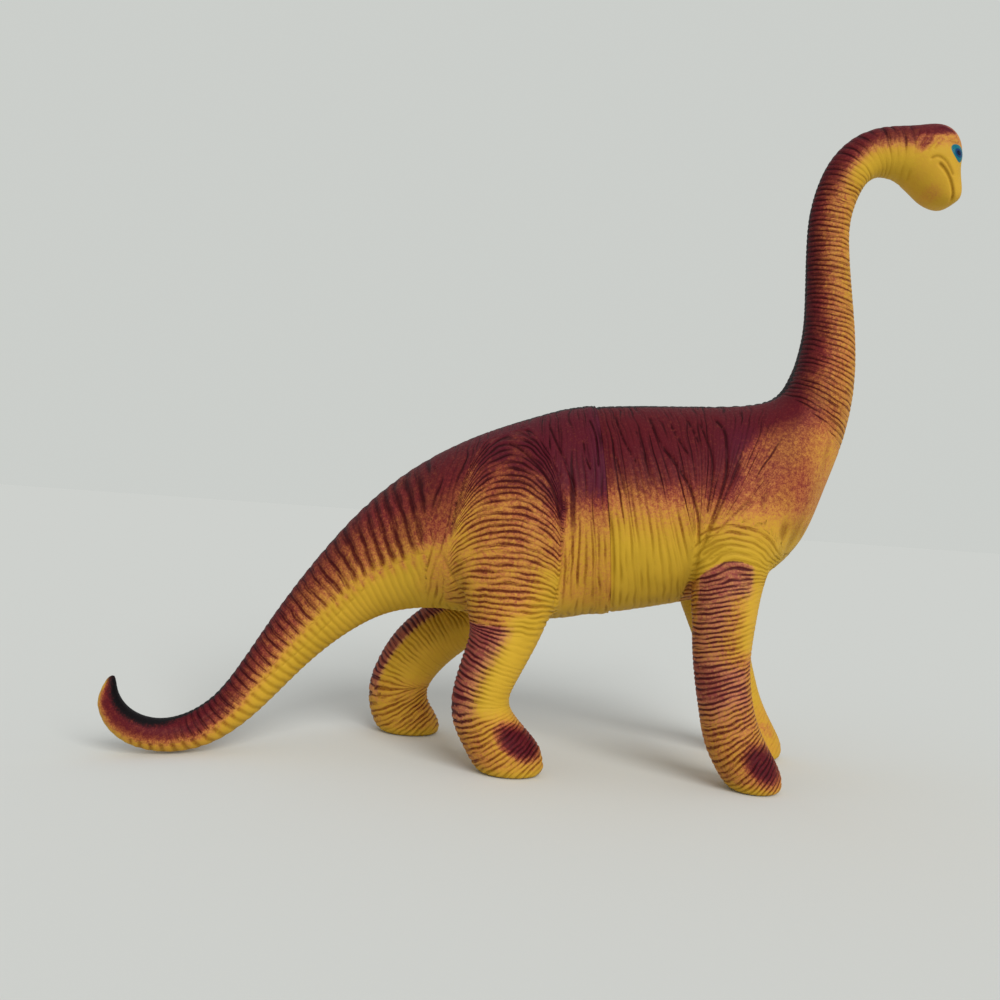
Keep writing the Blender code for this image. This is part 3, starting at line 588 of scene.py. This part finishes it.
def bodySpray(s, soft, rear):
    # the trunk, the neck, the tail and the thigh
    x, z, down = s["x"], s["z"], s["down"]
    level, place = z + uneven["level"] * soft, down - uneven["place"] * soft
    if rear:
        spray = blend(tone("rearSide", level), tone("hips", place), smooth(*sprayed["hips"], x))
    else:
        spray = tone("frontSide", level - chest["drop"] * smooth(*sprayed["shoulder"], x))
    neckTone = blend(tone("neck", place), tone("neckArch", place), smooth(*sprayed["neckArch"], z))
    neckTone = neckTone + (neckPaint["footTone"] * smooth(*sprayed["neckFoot"], z)
                           * smooth(*sprayed["neckUnder"], down))
    toNeck = smooth(*sprayed["neck"], x + neckPaint["lean"] * (z - neckPaint["z"]))
    spray = blend(spray, neckTone, toNeck * (x > neckPaint["rear"]))
    if not rear:
        # brown brushing ahead of the shoulder, under a slanting edge
        slope = chest["slope"]
        brushed = smooth(*sprayed["brushEdge"], slope * (x - chest["x"]) - slope * (z - chest["z"]))
        brushed = brushed * smooth(*sprayed["brushRear"], x + uneven["brush"] * soft)
        brushed = brushed * smooth(*sprayed["brushTop"], z)
        paler = smooth(*sprayed["chestFront"], x + chest["frontLean"] * (z - chest["frontZ"]))
        spray = blend(spray, tone("chest", level) * (1 - chest["paler"] * paler), brushed)
    spray = blend(spray, tone("tail", place), smooth(*sprayed["tail"], x))
    spray = blend(spray, tone("tailEnd", place), smooth(*sprayed["tailEnd"], x))

    # brown dimples under the line along the tail's root, and orange beside the thigh
    dimples = np.exp(-((down - dimple["down"]) / dimple["reach"]) ** 2)
    dimples = dimples * smooth(*sprayed["dimpleRear"], x) * smooth(*sprayed["dimpleFront"], x)
    waves = 0.5 - 0.5 * np.cos(s["run"] * 2 * math.pi / dimple["pitch"])
    spray = np.maximum(spray, dimple["tone"] * dimples * waves)
    beside = dimple["besideThigh"] * smooth(*sprayed["besideThigh"], x) * smooth(*sprayed["besideFoot"], z)
    spray = np.maximum(spray, beside * rear)

    # thigh: orange arches, paler behind and yellow at the lower front
    arches = tone("thigh", s["arch"] + uneven["thigh"] * soft) + thighPaint["varies"] * s["strength"]
    behind = thighPaint["rear"] * smooth(*sprayed["thighRear"], x) * smooth(*sprayed["thighRearTop"], z)
    arches = np.maximum(arches - behind, thighPaint["least"])
    frontEdge = smooth(*sprayed["thighFront"], x + thighPaint["frontLean"] * (thighPaint["frontZ"] - z))
    arches = arches * (1 - thighPaint["front"] * frontEdge * smooth(*sprayed["thighFrontTop"], z))
    spray = blend(spray, arches, s["onThigh"])
    return blend(spray, tone("frontSide", level - chest["shoulderDrop"]), s["onShoulder"])


def legSpray(s, soft):
    # orange behind with mauve over it, yellow in front, and a purple patch over the toes
    x, z, right, outer = s["x"], s["z"], s["right"], outward(s["y"])
    level = z + uneven["level"] * soft
    narrowing = s["hindFront"] + shinPaint["narrows"] * (shinPaint["z"] - z) + uneven["shin"] * soft
    shinBack = blend(tone("farHind", s["hindFront"]), tone("shinBack", narrowing), outer)
    shinLight = smooth(*sprayed["shinTop"], z) * smooth(*sprayed["shinFoot"], z)
    ahead = x - forePaint["x"]
    curve = np.where(ahead > 0, forePaint["ahead"], forePaint["behind"])
    foreTop = smooth(*sprayed["foreTop"], z + curve * ahead ** 2)
    foreFade = tone("foreFade", level) * smooth(*sprayed["foreFade"], s["foreFront"])
    foreMauve = tone("foreHeight", level) * (1 - foreFade)
    foreMauve = foreMauve * foreTop * outer * smooth(*sprayed["foreSide"], s["side"])
    foreMauve = foreMauve * smooth(*sprayed["foreFront"], s["foreFront"])
    foreMauve = foreMauve * smooth(*sprayed["foreRear"], s["foreFront"])
    foreZone = np.maximum(s["foreLeg"], s["onShoulder"])
    mauve = s["hindLeg"] * shinBack * shinLight + foreZone * foreMauve

    ankles, behind = smooth(*sprayed["ankles"], z), smooth(*sprayed["shinRear"], narrowing)
    hindTone = blend(shinPaint["inner"] + shinPaint["innerAnkle"] * ankles,
                     shinPaint["rear"] * behind + shinPaint["ankle"] * ankles * (1 - behind), outer)
    yellow = smooth(*sprayed["foreYellow"], s["foreFront"]) * smooth(*sprayed["foreYellowFoot"], z)
    foreTone = blend(forePaint["inner"] + forePaint["innerAnkle"] * ankles,
                     forePaint["tone"] * (1 - forePaint["yellow"] * yellow), outer)
    foreTone = blend(tone("frontSide", level), foreTone, foreTop)
    legTone = np.where(s["hindLeg"] > foreZone, hindTone, foreTone) * smooth(*sprayed["soles"], z)
    for patch in footPatches:
        turn = math.radians(patch["turn"])
        along = (x - patch["x"]) * math.cos(turn) + (z - patch["z"]) * math.sin(turn)
        over = (z - patch["z"]) * math.cos(turn) - (x - patch["x"]) * math.sin(turn)
        far = np.hypot(along / patch["long"], over / patch["wide"]) + uneven["patch"] * soft
        cover = smooth(*sprayed["patch"], far) * patch["much"] * (right == patch["right"])
        legTone = np.maximum(legTone, cover)
    return legTone, np.clip(s["hindLeg"] + foreZone * (z < forePaint["top"]), 0, 1), mauve


def headSpray(s, soft):
    # maroon crown and nape, pink brow, and an orange spot on the chin
    x, z = s["x"], s["z"]
    level = z - headPaint["slope"] * (x - headPaint["x"]) + uneven["crown"] * soft
    crown = smooth(*sprayed["crown"], level)
    crown = crown * (1 - headPaint["frontPaler"] * smooth(*sprayed["crownFront"], x))
    leaned = (x - napeSpot["x"] - napeSpot["lean"] * (z - napeSpot["leanZ"])) / napeSpot["long"]
    nape = smooth(*sprayed["nape"], np.hypot(leaned, (z - napeSpot["z"]) / napeSpot["high"]))
    fromChin = np.hypot((x - chinSpot["x"]) / chinSpot["long"], (z - chinSpot["z"]) / chinSpot["high"])
    face = headPaint["face"] * smooth(*sprayed["face"], z) * smooth(*sprayed["faceRear"], x)
    made = np.maximum(headPaint["crown"] * crown, headPaint["nape"] * nape) + headPaint["brow"] * s["brow"]
    made = np.maximum(np.clip(made, 0, 1), face)
    made = np.maximum(made, headPaint["chin"] * smooth(*sprayed["chin"], fromChin) + headPaint["base"])
    return made, smooth(*sprayed["head"], x) * (z > headPaint["rear"])


def backBlack(s, soft):
    # black along the back and the neck, a thin line on the tail's root, and the end of the tail
    x, z = s["x"], s["z"]
    below = (1 + s["down"]) * s["half"]
    band = blend(tone("backBlack", x), tone("neckBlack", z), smooth(*sprayed["neckBlack"], x))
    edge = s["side"] + uneven["black"] * soft * smooth(*sprayed["blackNoise"], x)
    strip = smooth(band * blackPaint["outer"], band * blackPaint["inner"], edge)
    strip = strip * smooth(*sprayed["blackDown"], s["down"]) * (x < blackPaint["front"])
    strip = strip * smooth(*sprayed["blackRear"], x)
    alongTail = smooth(*sprayed["tailBlack"], below) * smooth(*sprayed["tailBlackFrom"], x)
    root = blackPaint["root"] * smooth(*sprayed["rootBlack"], below) * smooth(*sprayed["rootBlackFront"], x)
    root = root * smooth(*sprayed["rootBlackRear"], x)
    end = smooth(*sprayed["endBlack"], below) * smooth(*sprayed["endBlackFrom"], x)
    lean = z + blackPaint["tipLean"] * (x + blackPaint["tipX"])
    tip = blackPaint["tip"] * smooth(*sprayed["tipBlack"], lean) * (x < blackPaint["tipRear"])
    return np.max([strip, alongTail, root, end, tip], axis=0)


def paint(s, points, rear):
    # what the material reads at each point: the sprays and the grooves
    x, z = s["x"], s["z"]
    soft = uneven["cloud"] * grain(points, *grains["cloud"]) + uneven["wobble"] * s["wobble"]
    spray = bodySpray(s, soft, rear)
    legTone, atLegs, mauve = legSpray(s, soft)
    spray = blend(spray, legTone, atLegs)
    headTone, atHead = headSpray(s, soft)
    spray = blend(spray, headTone, atHead)
    if rear:
        violet = violetPaint["least"] + violetPaint["more"] * smooth(*sprayed["violetFront"], x)
        violet = violet * smooth(*sprayed["violetRear"], x) * smooth(*sprayed["violetFoot"], z)
    else:
        fromSpot = np.hypot(x - violetPaint["x"], z - violetPaint["z"]) / violetPaint["reach"]
        violet = violetPaint["spot"] * np.exp(-fromSpot ** 2)
    return {"spray": np.clip(spray, 0, 1), "mauve": np.clip(mauve, 0, 1),
            "dark": np.clip(backBlack(s, soft), 0, 1), "violet": violet, "deep": s["deep"],
            "phase": s["phase"], "finePhase": s["finePhase"], "amount": s["amount"],
            "fineAmount": s["fineAmount"], "width": s["width"] + profile["mauveWidens"] * mauve}


# How the shells are merged and smoothed, and how their faces are cut finer across the wrinkles.
skins = {"merge": 0.01, "flatDegrees": 60, "shapeDegrees": 80, "sharpDegrees": 50, "smoothLevels": 2}
cuts = {"passes": 2, "phaseStep": 0.2, "jump": 2, "jumpCounts": 0.5, "fine": 0.55, "fold": 0.8,
        "head": 0.55, "mostTriangles": 190000, "trianglesPerCut": 2.1}
# The seam's place and lean, and how the skins meet there.
waist = {"x": 17.8, "z": 75.5, "lean": 7.6, "near": 0.6, "sharpDegrees": 35, "closing": 0.26, "rimOut": 0.4}


def outerSkin(shell, forward):
    # the outside of a packed shell, down to the sharp ring at its waist, closed by a flat end
    bm = bmesh.new()
    bm.from_mesh(shell.data)
    bmesh.ops.remove_doubles(bm, verts=bm.verts, dist=skins["merge"] * mm)
    bmesh.ops.join_triangles(bm, faces=bm.faces, angle_face_threshold=math.radians(skins["flatDegrees"]),
                             angle_shape_threshold=math.radians(skins["shapeDegrees"]))
    bm.faces.ensure_lookup_table()
    ahead = Vector((math.cos(math.radians(waist["lean"])), 0, math.sin(math.radians(waist["lean"]))))
    centre = Vector((waist["x"], midline, waist["z"])) * mm
    limit = math.radians(skins["sharpDegrees"])
    rimLimit = math.radians(waist["sharpDegrees"])
    sharp = set()
    for edge in bm.edges:
        angle = edge.calc_face_angle(0)
        atWaist = all(abs((vert.co - centre).dot(ahead)) < waist["near"] * mm for vert in edge.verts)
        if angle > limit or (atWaist and angle > rimLimit):
            sharp.add(edge)
    start = max(bm.faces, key=lambda face: abs(face.calc_center_median().x - centre.x))
    keep, todo = {start}, [start]
    while todo:
        for edge in todo.pop().edges:
            if edge in sharp:
                continue
            for face in edge.link_faces:
                if face not in keep:
                    keep.add(face)
                    todo.append(face)
    bmesh.ops.delete(bm, geom=[face for face in bm.faces if face not in keep], context="FACES")
    crease = bm.edges.layers.float.new("crease_edge")
    rim = [edge for edge in bm.edges if edge.is_boundary]
    for edge in rim:
        edge[crease] = 1
        edge.smooth = False
    rimVerts = {vert for edge in rim for vert in edge.verts}
    for vert in rimVerts:
        out = vert.co - centre
        out = (out - out.dot(ahead) * ahead).normalized()
        vert.co += out * waist["rimOut"] * mm
        if forward:
            vert.co -= ahead * waist["closing"] * mm
    bmesh.ops.holes_fill(bm, edges=rim, sides=0)
    bmesh.ops.recalc_face_normals(bm, faces=bm.faces)
    print("outer skin of", shell.name, len(bm.faces), "faces,", len(rimVerts), "rim points,",
          sum(len(face.verts) == 4 for face in bm.faces), "quads")
    return bm


def pointsOf(mesh):
    flat = np.zeros(len(mesh.vertices) * 3, np.float32)
    mesh.vertices.foreach_get("co", flat)
    return flat.reshape(-1, 3).astype(float) / mm


def triangleCount(mesh):
    return sum(len(face.vertices) - 2 for face in mesh.polygons)


def cutAcross(mesh):
    # halves the edges that cross the wrinkles most, so that each wrinkle gets enough rows of faces
    facts = surface(pointsOf(mesh))
    ends = np.zeros(len(mesh.edges) * 2, np.int32)
    mesh.edges.foreach_get("vertices", ends)
    a, b = ends.reshape(-1, 2).T
    change = np.zeros(len(a))
    for phase, amount, weight in (("phase", "amount", 1.0), ("finePhase", "fineAmount", cuts["fine"])):
        step = np.abs(facts[phase][a] - facts[phase][b])
        step = np.where(step > cuts["jump"], cuts["jumpCounts"], step)
        step = step * np.maximum(facts[amount][a], facts[amount][b]) ** 0.5
        change = np.maximum(change, weight * step)
    change = np.maximum(change, cuts["fold"] * np.abs(facts["deep"][a] - facts["deep"][b]))
    spots = np.stack([facts["x"], facts["y"], facts["z"]], 1)
    length = np.linalg.norm(spots[a] - spots[b], axis=1)
    change = np.maximum(change, cuts["head"] * length * facts["head"][a])
    room = int((cuts["mostTriangles"] - triangleCount(mesh)) / cuts["trianglesPerCut"])
    limit = max(cuts["phaseStep"], np.sort(change)[-min(room, len(change))])
    bm = bmesh.new()
    bm.from_mesh(mesh)
    bm.edges.ensure_lookup_table()
    picked = [edge for edge, much in zip(bm.edges, change) if much > limit and edge.smooth]
    bmesh.ops.subdivide_edges(bm, edges=picked, cuts=1, use_grid_fill=True)
    bm.to_mesh(mesh)
    bm.free()


def makeSkin(nodeName, name, rear):
    bm = outerSkin(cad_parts[nodeName], not rear)
    cage = bpy.data.meshes.new(name + "Cage")
    bm.to_mesh(cage)
    bm.free()
    obj = bpy.data.objects.new(name, cage)
    scene.collection.objects.link(obj)
    soft = obj.modifiers.new("soft", "SUBSURF")
    soft.levels = soft.render_levels = skins["smoothLevels"]
    depsgraph = bpy.context.evaluated_depsgraph_get()
    mesh = bpy.data.meshes.new_from_object(obj.evaluated_get(depsgraph))
    obj.modifiers.clear()
    obj.data = mesh
    for step in range(cuts["passes"]):
        cutAcross(mesh)
        print(name, "after pass", step + 1, triangleCount(mesh), "triangles")
    points = pointsOf(mesh)
    normals = np.zeros(len(points) * 3, np.float32)
    mesh.vertices.foreach_get("normal", normals)
    facts = surface(points)
    toTip = smooth(tailTip["reach"], 0, facts["run"])[:, None]
    toTip = toTip * np.array([tailTip["ahead"], 0, tailTip["up"]])
    moved = (points + normals.reshape(-1, 3) * facts["height"][:, None] + toTip) * mm
    mesh.vertices.foreach_set("co", moved.astype(np.float32).ravel())
    for key, values in paint(facts, points, rear).items():
        layer = mesh.attributes.new(key, "FLOAT", "POINT")
        layer.data.foreach_set("value", np.asarray(values, np.float32))
    mesh.update()
    mesh.shade_smooth()
    return obj


def node(tree, kind, place, **sockets):
    made = tree.nodes.new("ShaderNode" + kind)
    made.location = place
    for key, value in sockets.items():
        made.inputs[key].default_value = value
    return made


def join(tree, pairs):
    for socket, value in pairs:
        if isinstance(value, bpy.types.NodeSocket):
            tree.links.new(value, socket)
        else:
            socket.default_value = value


def mixColour(tree, place, factor, first, second):
    mix = tree.nodes.new("ShaderNodeMix")
    mix.data_type = "RGBA"
    mix.location = place
    join(tree, ((mix.inputs[0], factor), (mix.inputs[6], first), (mix.inputs[7], second)))
    return mix.outputs[2]


def calc(tree, place, operation, first, second=0.0, third=0.0, clamp=False):
    made = tree.nodes.new("ShaderNodeMath")
    made.operation = operation
    made.use_clamp = clamp
    made.location = place
    join(tree, zip(made.inputs, (first, second, third)))
    return made.outputs[0]


def stretch(tree, place, value, low, high, start=0.0, end=1.0):
    made = tree.nodes.new("ShaderNodeMapRange")
    made.interpolation_type = "SMOOTHSTEP"
    made.location = place
    sockets = [made.inputs[key] for key in ("Value", "From Min", "From Max", "To Min", "To Max")]
    join(tree, zip(sockets, (value, low, high, start, end)))
    return made.outputs["Result"]


def attribute(tree, place, name):
    made = node(tree, "Attribute", place)
    made.attribute_name = name
    return made.outputs["Fac"]


# Each tone from bare yellow to maroon, on the ridges and in the grooves. The darker groove tones are partly
# the grooves' paint and partly painted shade.
ridgeTones = [(0.0, (0.60, 0.365, 0.030, 1)), (0.25, (0.575, 0.285, 0.036, 1)),
              (0.45, (0.50, 0.185, 0.048, 1)), (0.62, (0.345, 0.085, 0.034, 1)),
              (0.80, (0.185, 0.023, 0.021, 1)), (1.0, (0.088, 0.0055, 0.011, 1))]
grooveShadeTones = [(0.0, (0.40, 0.230, 0.014, 1)), (0.25, (0.245, 0.088, 0.008, 1)),
               (0.45, (0.125, 0.023, 0.006, 1)), (0.70, (0.060, 0.004, 0.004, 1)),
               (1.0, (0.026, 0.0012, 0.003, 1))]
# mauveGrooveShade is the grooves' dark mauve: partly paint, partly painted shade.
vinylColours = {"dull": (0.48, 0.29, 0.020, 1), "mauve": (0.49, 0.150, 0.110, 1),
                "plum": (0.250, 0.042, 0.050, 1), "mauveGrooveShade": (0.055, 0.004, 0.008, 1),
                "violet": (0.075, 0.007, 0.028, 1), "spineBlack": (0.006, 0.005, 0.006, 1)}
# The spray's grain, the crisp core and border of a groove, and where each colour comes in.
finish = {
    "noises": (("speck", 2600), ("blotch", 900), ("cloud", 75)), "detail": 2, "noiseRoughness": 0.6,
    "grooveCore": 0.02, "fineBorder": 0.38, "fineCore": 0.05, "fineShare": 0.8, "specks": 1.1,
    "grainTop": 1.12, "grain": 2.0, "cloud": (-0.2, 0.25), "cloudShare": 0.6, "violet": (0.70, 1.0),
    "overGrain": 0.5, "mauve": (0.0, 1.0), "plum": (0.55, 1.0), "mauveShare": 0.88,
    "mauveGrooveShade": (0.0, 0.6), "inkAndShade": (0.08, 0.80, 0.0, 0.95), "dark": (0.2, 0.8),
    "roughness": (-0.3, 0.3, 0.46, 0.60), "bumpHeight": 0.14, "bumpGrain": 0.35,
}


def eyePaint(tree, base, coords):
    # almond-shaped painted eyes, placed in side view by Object coordinates
    split = node(tree, "SeparateXYZ", (-1500, 900))
    tree.links.new(coords, split.inputs[0])
    dx = calc(tree, (-1300, 950), "SUBTRACT", split.outputs[0], eye["x"] * mm)
    dz = calc(tree, (-1300, 800), "SUBTRACT", split.outputs[2], eye["z"] * mm)
    dx = calc(tree, (-1100, 950), "MULTIPLY_ADD", dz, eye["lean"], dx)
    narrow = calc(tree, (-1100, 650), "MULTIPLY_ADD", dz, eye["narrows"] / mm, 1.0)
    halfWidth = calc(tree, (-1000, 600), "MULTIPLY", narrow, eye["halfWidth"] * mm)
    wide = calc(tree, (-900, 950), "DIVIDE", dx, halfWidth)
    high = calc(tree, (-900, 800), "DIVIDE", dz, eye["halfHeight"] * mm)
    size = calc(tree, (-500, 900), "SQRT",
                calc(tree, (-700, 900), "MULTIPLY_ADD", wide, wide,
                     calc(tree, (-900, 650), "MULTIPLY", high, high)))
    ring = calc(tree, (-500, 700), "SQRT",
                calc(tree, (-700, 700), "MULTIPLY_ADD", dx, dx,
                     calc(tree, (-900, 500), "MULTIPLY", dz, dz)))
    whole = stretch(tree, (-300, 900), size, *eye["edge"])
    iris = stretch(tree, (-300, 750), ring, (eye["iris"] + eye["irisBlur"]) * mm,
                   (eye["iris"] - eye["irisBlur"]) * mm)
    pupil = stretch(tree, (-300, 600), ring, (eye["pupil"] + eye["pupilBlur"]) * mm,
                    (eye["pupil"] - eye["pupilBlur"]) * mm)
    colour = mixColour(tree, (-100, 900), iris, eye["teal"], eye["blue"])
    colour = mixColour(tree, (50, 900), pupil, colour, eye["black"])
    return mixColour(tree, (200, 900), whole, base, colour), whole


def toneRamp(tree, place, value, stops):
    ramp = tree.nodes.new("ShaderNodeValToRGB")
    ramp.location = place
    while len(ramp.color_ramp.elements) < len(stops):
        ramp.color_ramp.elements.new(0.5)
    for element, (at, colour) in zip(ramp.color_ramp.elements, stops):
        element.position = at
        element.color = colour
    tree.links.new(value, ramp.inputs["Fac"])
    return ramp.outputs["Color"]


def vinyl(name, withEye):
    material = bpy.data.materials.new(name)
    material.use_nodes = True
    tree = material.node_tree
    shader = tree.nodes["Principled BSDF"]
    coords = node(tree, "TexCoord", (-2000, 0)).outputs["Object"]
    names = ("spray", "mauve", "dark", "violet", "deep", "phase", "finePhase", "amount", "fineAmount",
             "width")
    shares = {key: attribute(tree, (-2000, -300 - 180 * row), key) for row, key in enumerate(names)}
    textures = {}
    for row, (key, scale) in enumerate(finish["noises"]):
        made = node(tree, "TexNoise", (-1700, 400 - 200 * row), Scale=scale, Detail=finish["detail"],
                    Roughness=finish["noiseRoughness"])
        tree.links.new(coords, made.inputs["Vector"])
        textures[key] = calc(tree, (-1500, 400 - 200 * row), "SUBTRACT", made.outputs["Fac"], 0.5)

    # crisp grooves from the wrinkle phases that the skin carries, each with a sharp core
    gap = calc(tree, (-1700, -900), "PINGPONG", shares["phase"], 0.5)
    fineGap = calc(tree, (-1700, -1100), "PINGPONG", shares["finePhase"], 0.5)
    main = stretch(tree, (-1500, -900), gap, shares["width"], finish["grooveCore"])
    main = calc(tree, (-1300, -900), "MULTIPLY", main, shares["amount"])
    fine = stretch(tree, (-1500, -1100), fineGap, finish["fineBorder"], finish["fineCore"])
    fine = calc(tree, (-1300, -1100), "MULTIPLY", fine, shares["fineAmount"])
    fine = calc(tree, (-1200, -1200), "MULTIPLY", fine, finish["fineShare"])
    groove = calc(tree, (-1100, -1000), "MAXIMUM", main, fine)
    # the folds' darkness joins the grooves: partly paint, partly painted shade
    groove = calc(tree, (-950, -1000), "MAXIMUM", groove, shares["deep"])

    # the tone, grainy where the spray thins out
    mottle = calc(tree, (-1250, 300), "MULTIPLY_ADD", textures["speck"], finish["specks"],
                  textures["blotch"])
    bare = calc(tree, (-1400, 150), "SUBTRACT", finish["grainTop"], shares["spray"])
    thin = calc(tree, (-1250, 150), "MULTIPLY", shares["spray"], bare)
    grainy = calc(tree, (-1100, 250), "MULTIPLY", mottle, thin)
    toned = calc(tree, (-950, 250), "MULTIPLY_ADD", grainy, finish["grain"], shares["spray"], clamp=True)
    ridge = toneRamp(tree, (-780, 400), toned, ridgeTones)
    # darker tones for the grooves: partly paint, partly painted shade
    shadedFurrow = toneRamp(tree, (-780, 100), toned, grooveShadeTones)

    # dull clouds on the bare yellow, and violet over the darkest red
    clouds = stretch(tree, (-900, 650), textures["cloud"], *finish["cloud"])
    clouds = calc(tree, (-700, 650), "MULTIPLY", clouds, calc(tree, (-850, 550), "SUBTRACT", 1.0, toned))
    clouds = calc(tree, (-550, 650), "MULTIPLY", clouds, finish["cloudShare"])
    ridge = mixColour(tree, (-450, 500), clouds, ridge, vinylColours["dull"])
    purple = stretch(tree, (-750, 850), toned, *finish["violet"])
    purple = calc(tree, (-600, 800), "MULTIPLY", purple, shares["violet"])
    ridge = mixColour(tree, (-350, 700), purple, ridge, vinylColours["violet"])

    # mauve on the legs, plum where it is thick, and a darker mauve in the grooves that is partly paint and
    # partly painted shade
    mauved = calc(tree, (-1000, -100), "MULTIPLY_ADD", mottle, finish["overGrain"], shares["mauve"])
    mauved = stretch(tree, (-800, -100), mauved, *finish["mauve"])
    thick = stretch(tree, (-650, -50), mauved, *finish["plum"])
    pinkish = mixColour(tree, (-500, -50), thick, vinylColours["mauve"], vinylColours["plum"])
    onRidge = calc(tree, (-500, 250), "MULTIPLY", mauved, finish["mauveShare"])
    ridge = mixColour(tree, (-300, 400), onRidge, ridge, pinkish)
    # the grooves' dark mauve: partly paint, partly painted shade
    inGroove = stretch(tree, (-500, 100), mauved, *finish["mauveGrooveShade"])
    shadedFurrow = mixColour(tree, (-300, 150), inGroove, shadedFurrow, vinylColours["mauveGrooveShade"])

    # the grooves' darker tones, partly paint and partly painted shade, and black along the back
    inkedAndShaded = stretch(tree, (-400, -300), groove, *finish["inkAndShade"])
    base = mixColour(tree, (-100, 400), inkedAndShaded, ridge, shadedFurrow)
    dark = calc(tree, (-300, 0), "MULTIPLY_ADD", mottle, finish["overGrain"], shares["dark"])
    dark = stretch(tree, (-150, 0), dark, *finish["dark"])
    base = mixColour(tree, (100, 400), dark, base, vinylColours["spineBlack"])
    roughness = stretch(tree, (150, -100), textures["blotch"], *finish["roughness"])
    if withEye:
        base, onEye = eyePaint(tree, base, coords)
        roughness = calc(tree, (400, -100), "MULTIPLY_ADD", onEye, eye["shine"], roughness)
    tree.links.new(base, shader.inputs["Base Color"])
    tree.links.new(roughness, shader.inputs["Roughness"])
    shader.inputs["Specular IOR Level"].default_value = 0.08
    shader.location = (800, 300)
    relief = node(tree, "Bump", (450, -400), Strength=1.0, Distance=finish["bumpHeight"] * mm)
    sunk = calc(tree, (0, -400), "MULTIPLY", groove, -1.0)
    height = calc(tree, (200, -400), "MULTIPLY_ADD", mottle, finish["bumpGrain"], sunk)
    tree.links.new(height, relief.inputs["Height"])
    tree.links.new(relief.outputs["Normal"], shader.inputs["Normal"])
    return material


for nodeName, name in (("rear_shell", "rear_skin"), ("front_shell", "front_skin")):
    rear = nodeName == "rear_shell"
    skin = makeSkin(nodeName, name, rear)
    skin.data.materials.clear()
    skin.data.materials.append(vinyl(name + "_vinyl", withEye=not rear))
    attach(skin, "root")
    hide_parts(nodeName)
    print(name, "done")


studio = {"distance": 326, "lens": 39.05, "sensor": 36, "ahead": -12.8, "height": 76.2, "roll": -4.0,
          "floorSize": 8.0, "floorColour": (0.72, 0.74, 0.71, 1), "backdrop": (0.60, 0.62, 0.595, 1),
          "skyStrength": 0.52, "sunStrength": 2.05, "sunFrom": (0.4, -0.9, 0.6), "sunDegrees": 35}


def makeStudio():
    bm = bmesh.new()
    bmesh.ops.create_grid(bm, x_segments=1, y_segments=1, size=studio["floorSize"] / 2)
    mesh = bpy.data.meshes.new("floor")
    bm.to_mesh(mesh)
    bm.free()
    floor = bpy.data.objects.new("floor", mesh)
    scene.collection.objects.link(floor)
    material = bpy.data.materials.new("paleFloor")
    material.use_nodes = True
    shader = material.node_tree.nodes["Principled BSDF"]
    shader.inputs["Base Color"].default_value = studio["floorColour"]
    shader.inputs["Roughness"].default_value = 1.0
    shader.inputs["Specular IOR Level"].default_value = 0.0
    mesh.materials.append(material)

    camera = bpy.data.objects.new("camera", bpy.data.cameras.new("camera"))
    scene.collection.objects.link(camera)
    camera.data.lens = studio["lens"]
    camera.data.sensor_width = studio["sensor"]
    camera.location = (studio["ahead"] * mm, (midline - studio["distance"]) * mm, studio["height"] * mm)
    camera.rotation_euler = (math.radians(90), math.radians(studio["roll"]), 0)
    scene.camera = camera

    world = bpy.data.worlds.new("studio")
    world.use_nodes = True
    tree = world.node_tree
    sky = tree.nodes["Background"]
    sky.inputs["Color"].default_value = (1, 1, 1, 1)
    sky.inputs["Strength"].default_value = studio["skyStrength"]
    seen = tree.nodes.new("ShaderNodeBackground")
    seen.inputs["Color"].default_value = studio["backdrop"]
    rays = tree.nodes.new("ShaderNodeLightPath")
    mix = tree.nodes.new("ShaderNodeMixShader")
    tree.links.new(rays.outputs["Is Camera Ray"], mix.inputs[0])
    tree.links.new(sky.outputs[0], mix.inputs[1])
    tree.links.new(seen.outputs[0], mix.inputs[2])
    tree.links.new(mix.outputs[0], tree.nodes["World Output"].inputs["Surface"])
    scene.world = world

    sun = bpy.data.objects.new("sun", bpy.data.lights.new("sun", "SUN"))
    sun.data.energy = studio["sunStrength"]
    sun.data.angle = math.radians(studio["sunDegrees"])
    sun.rotation_euler = (-Vector(studio["sunFrom"])).to_track_quat("-Z", "Y").to_euler()
    scene.collection.objects.link(sun)


makeStudio()
scene.view_settings.view_transform = "Standard"
print("studio ready")
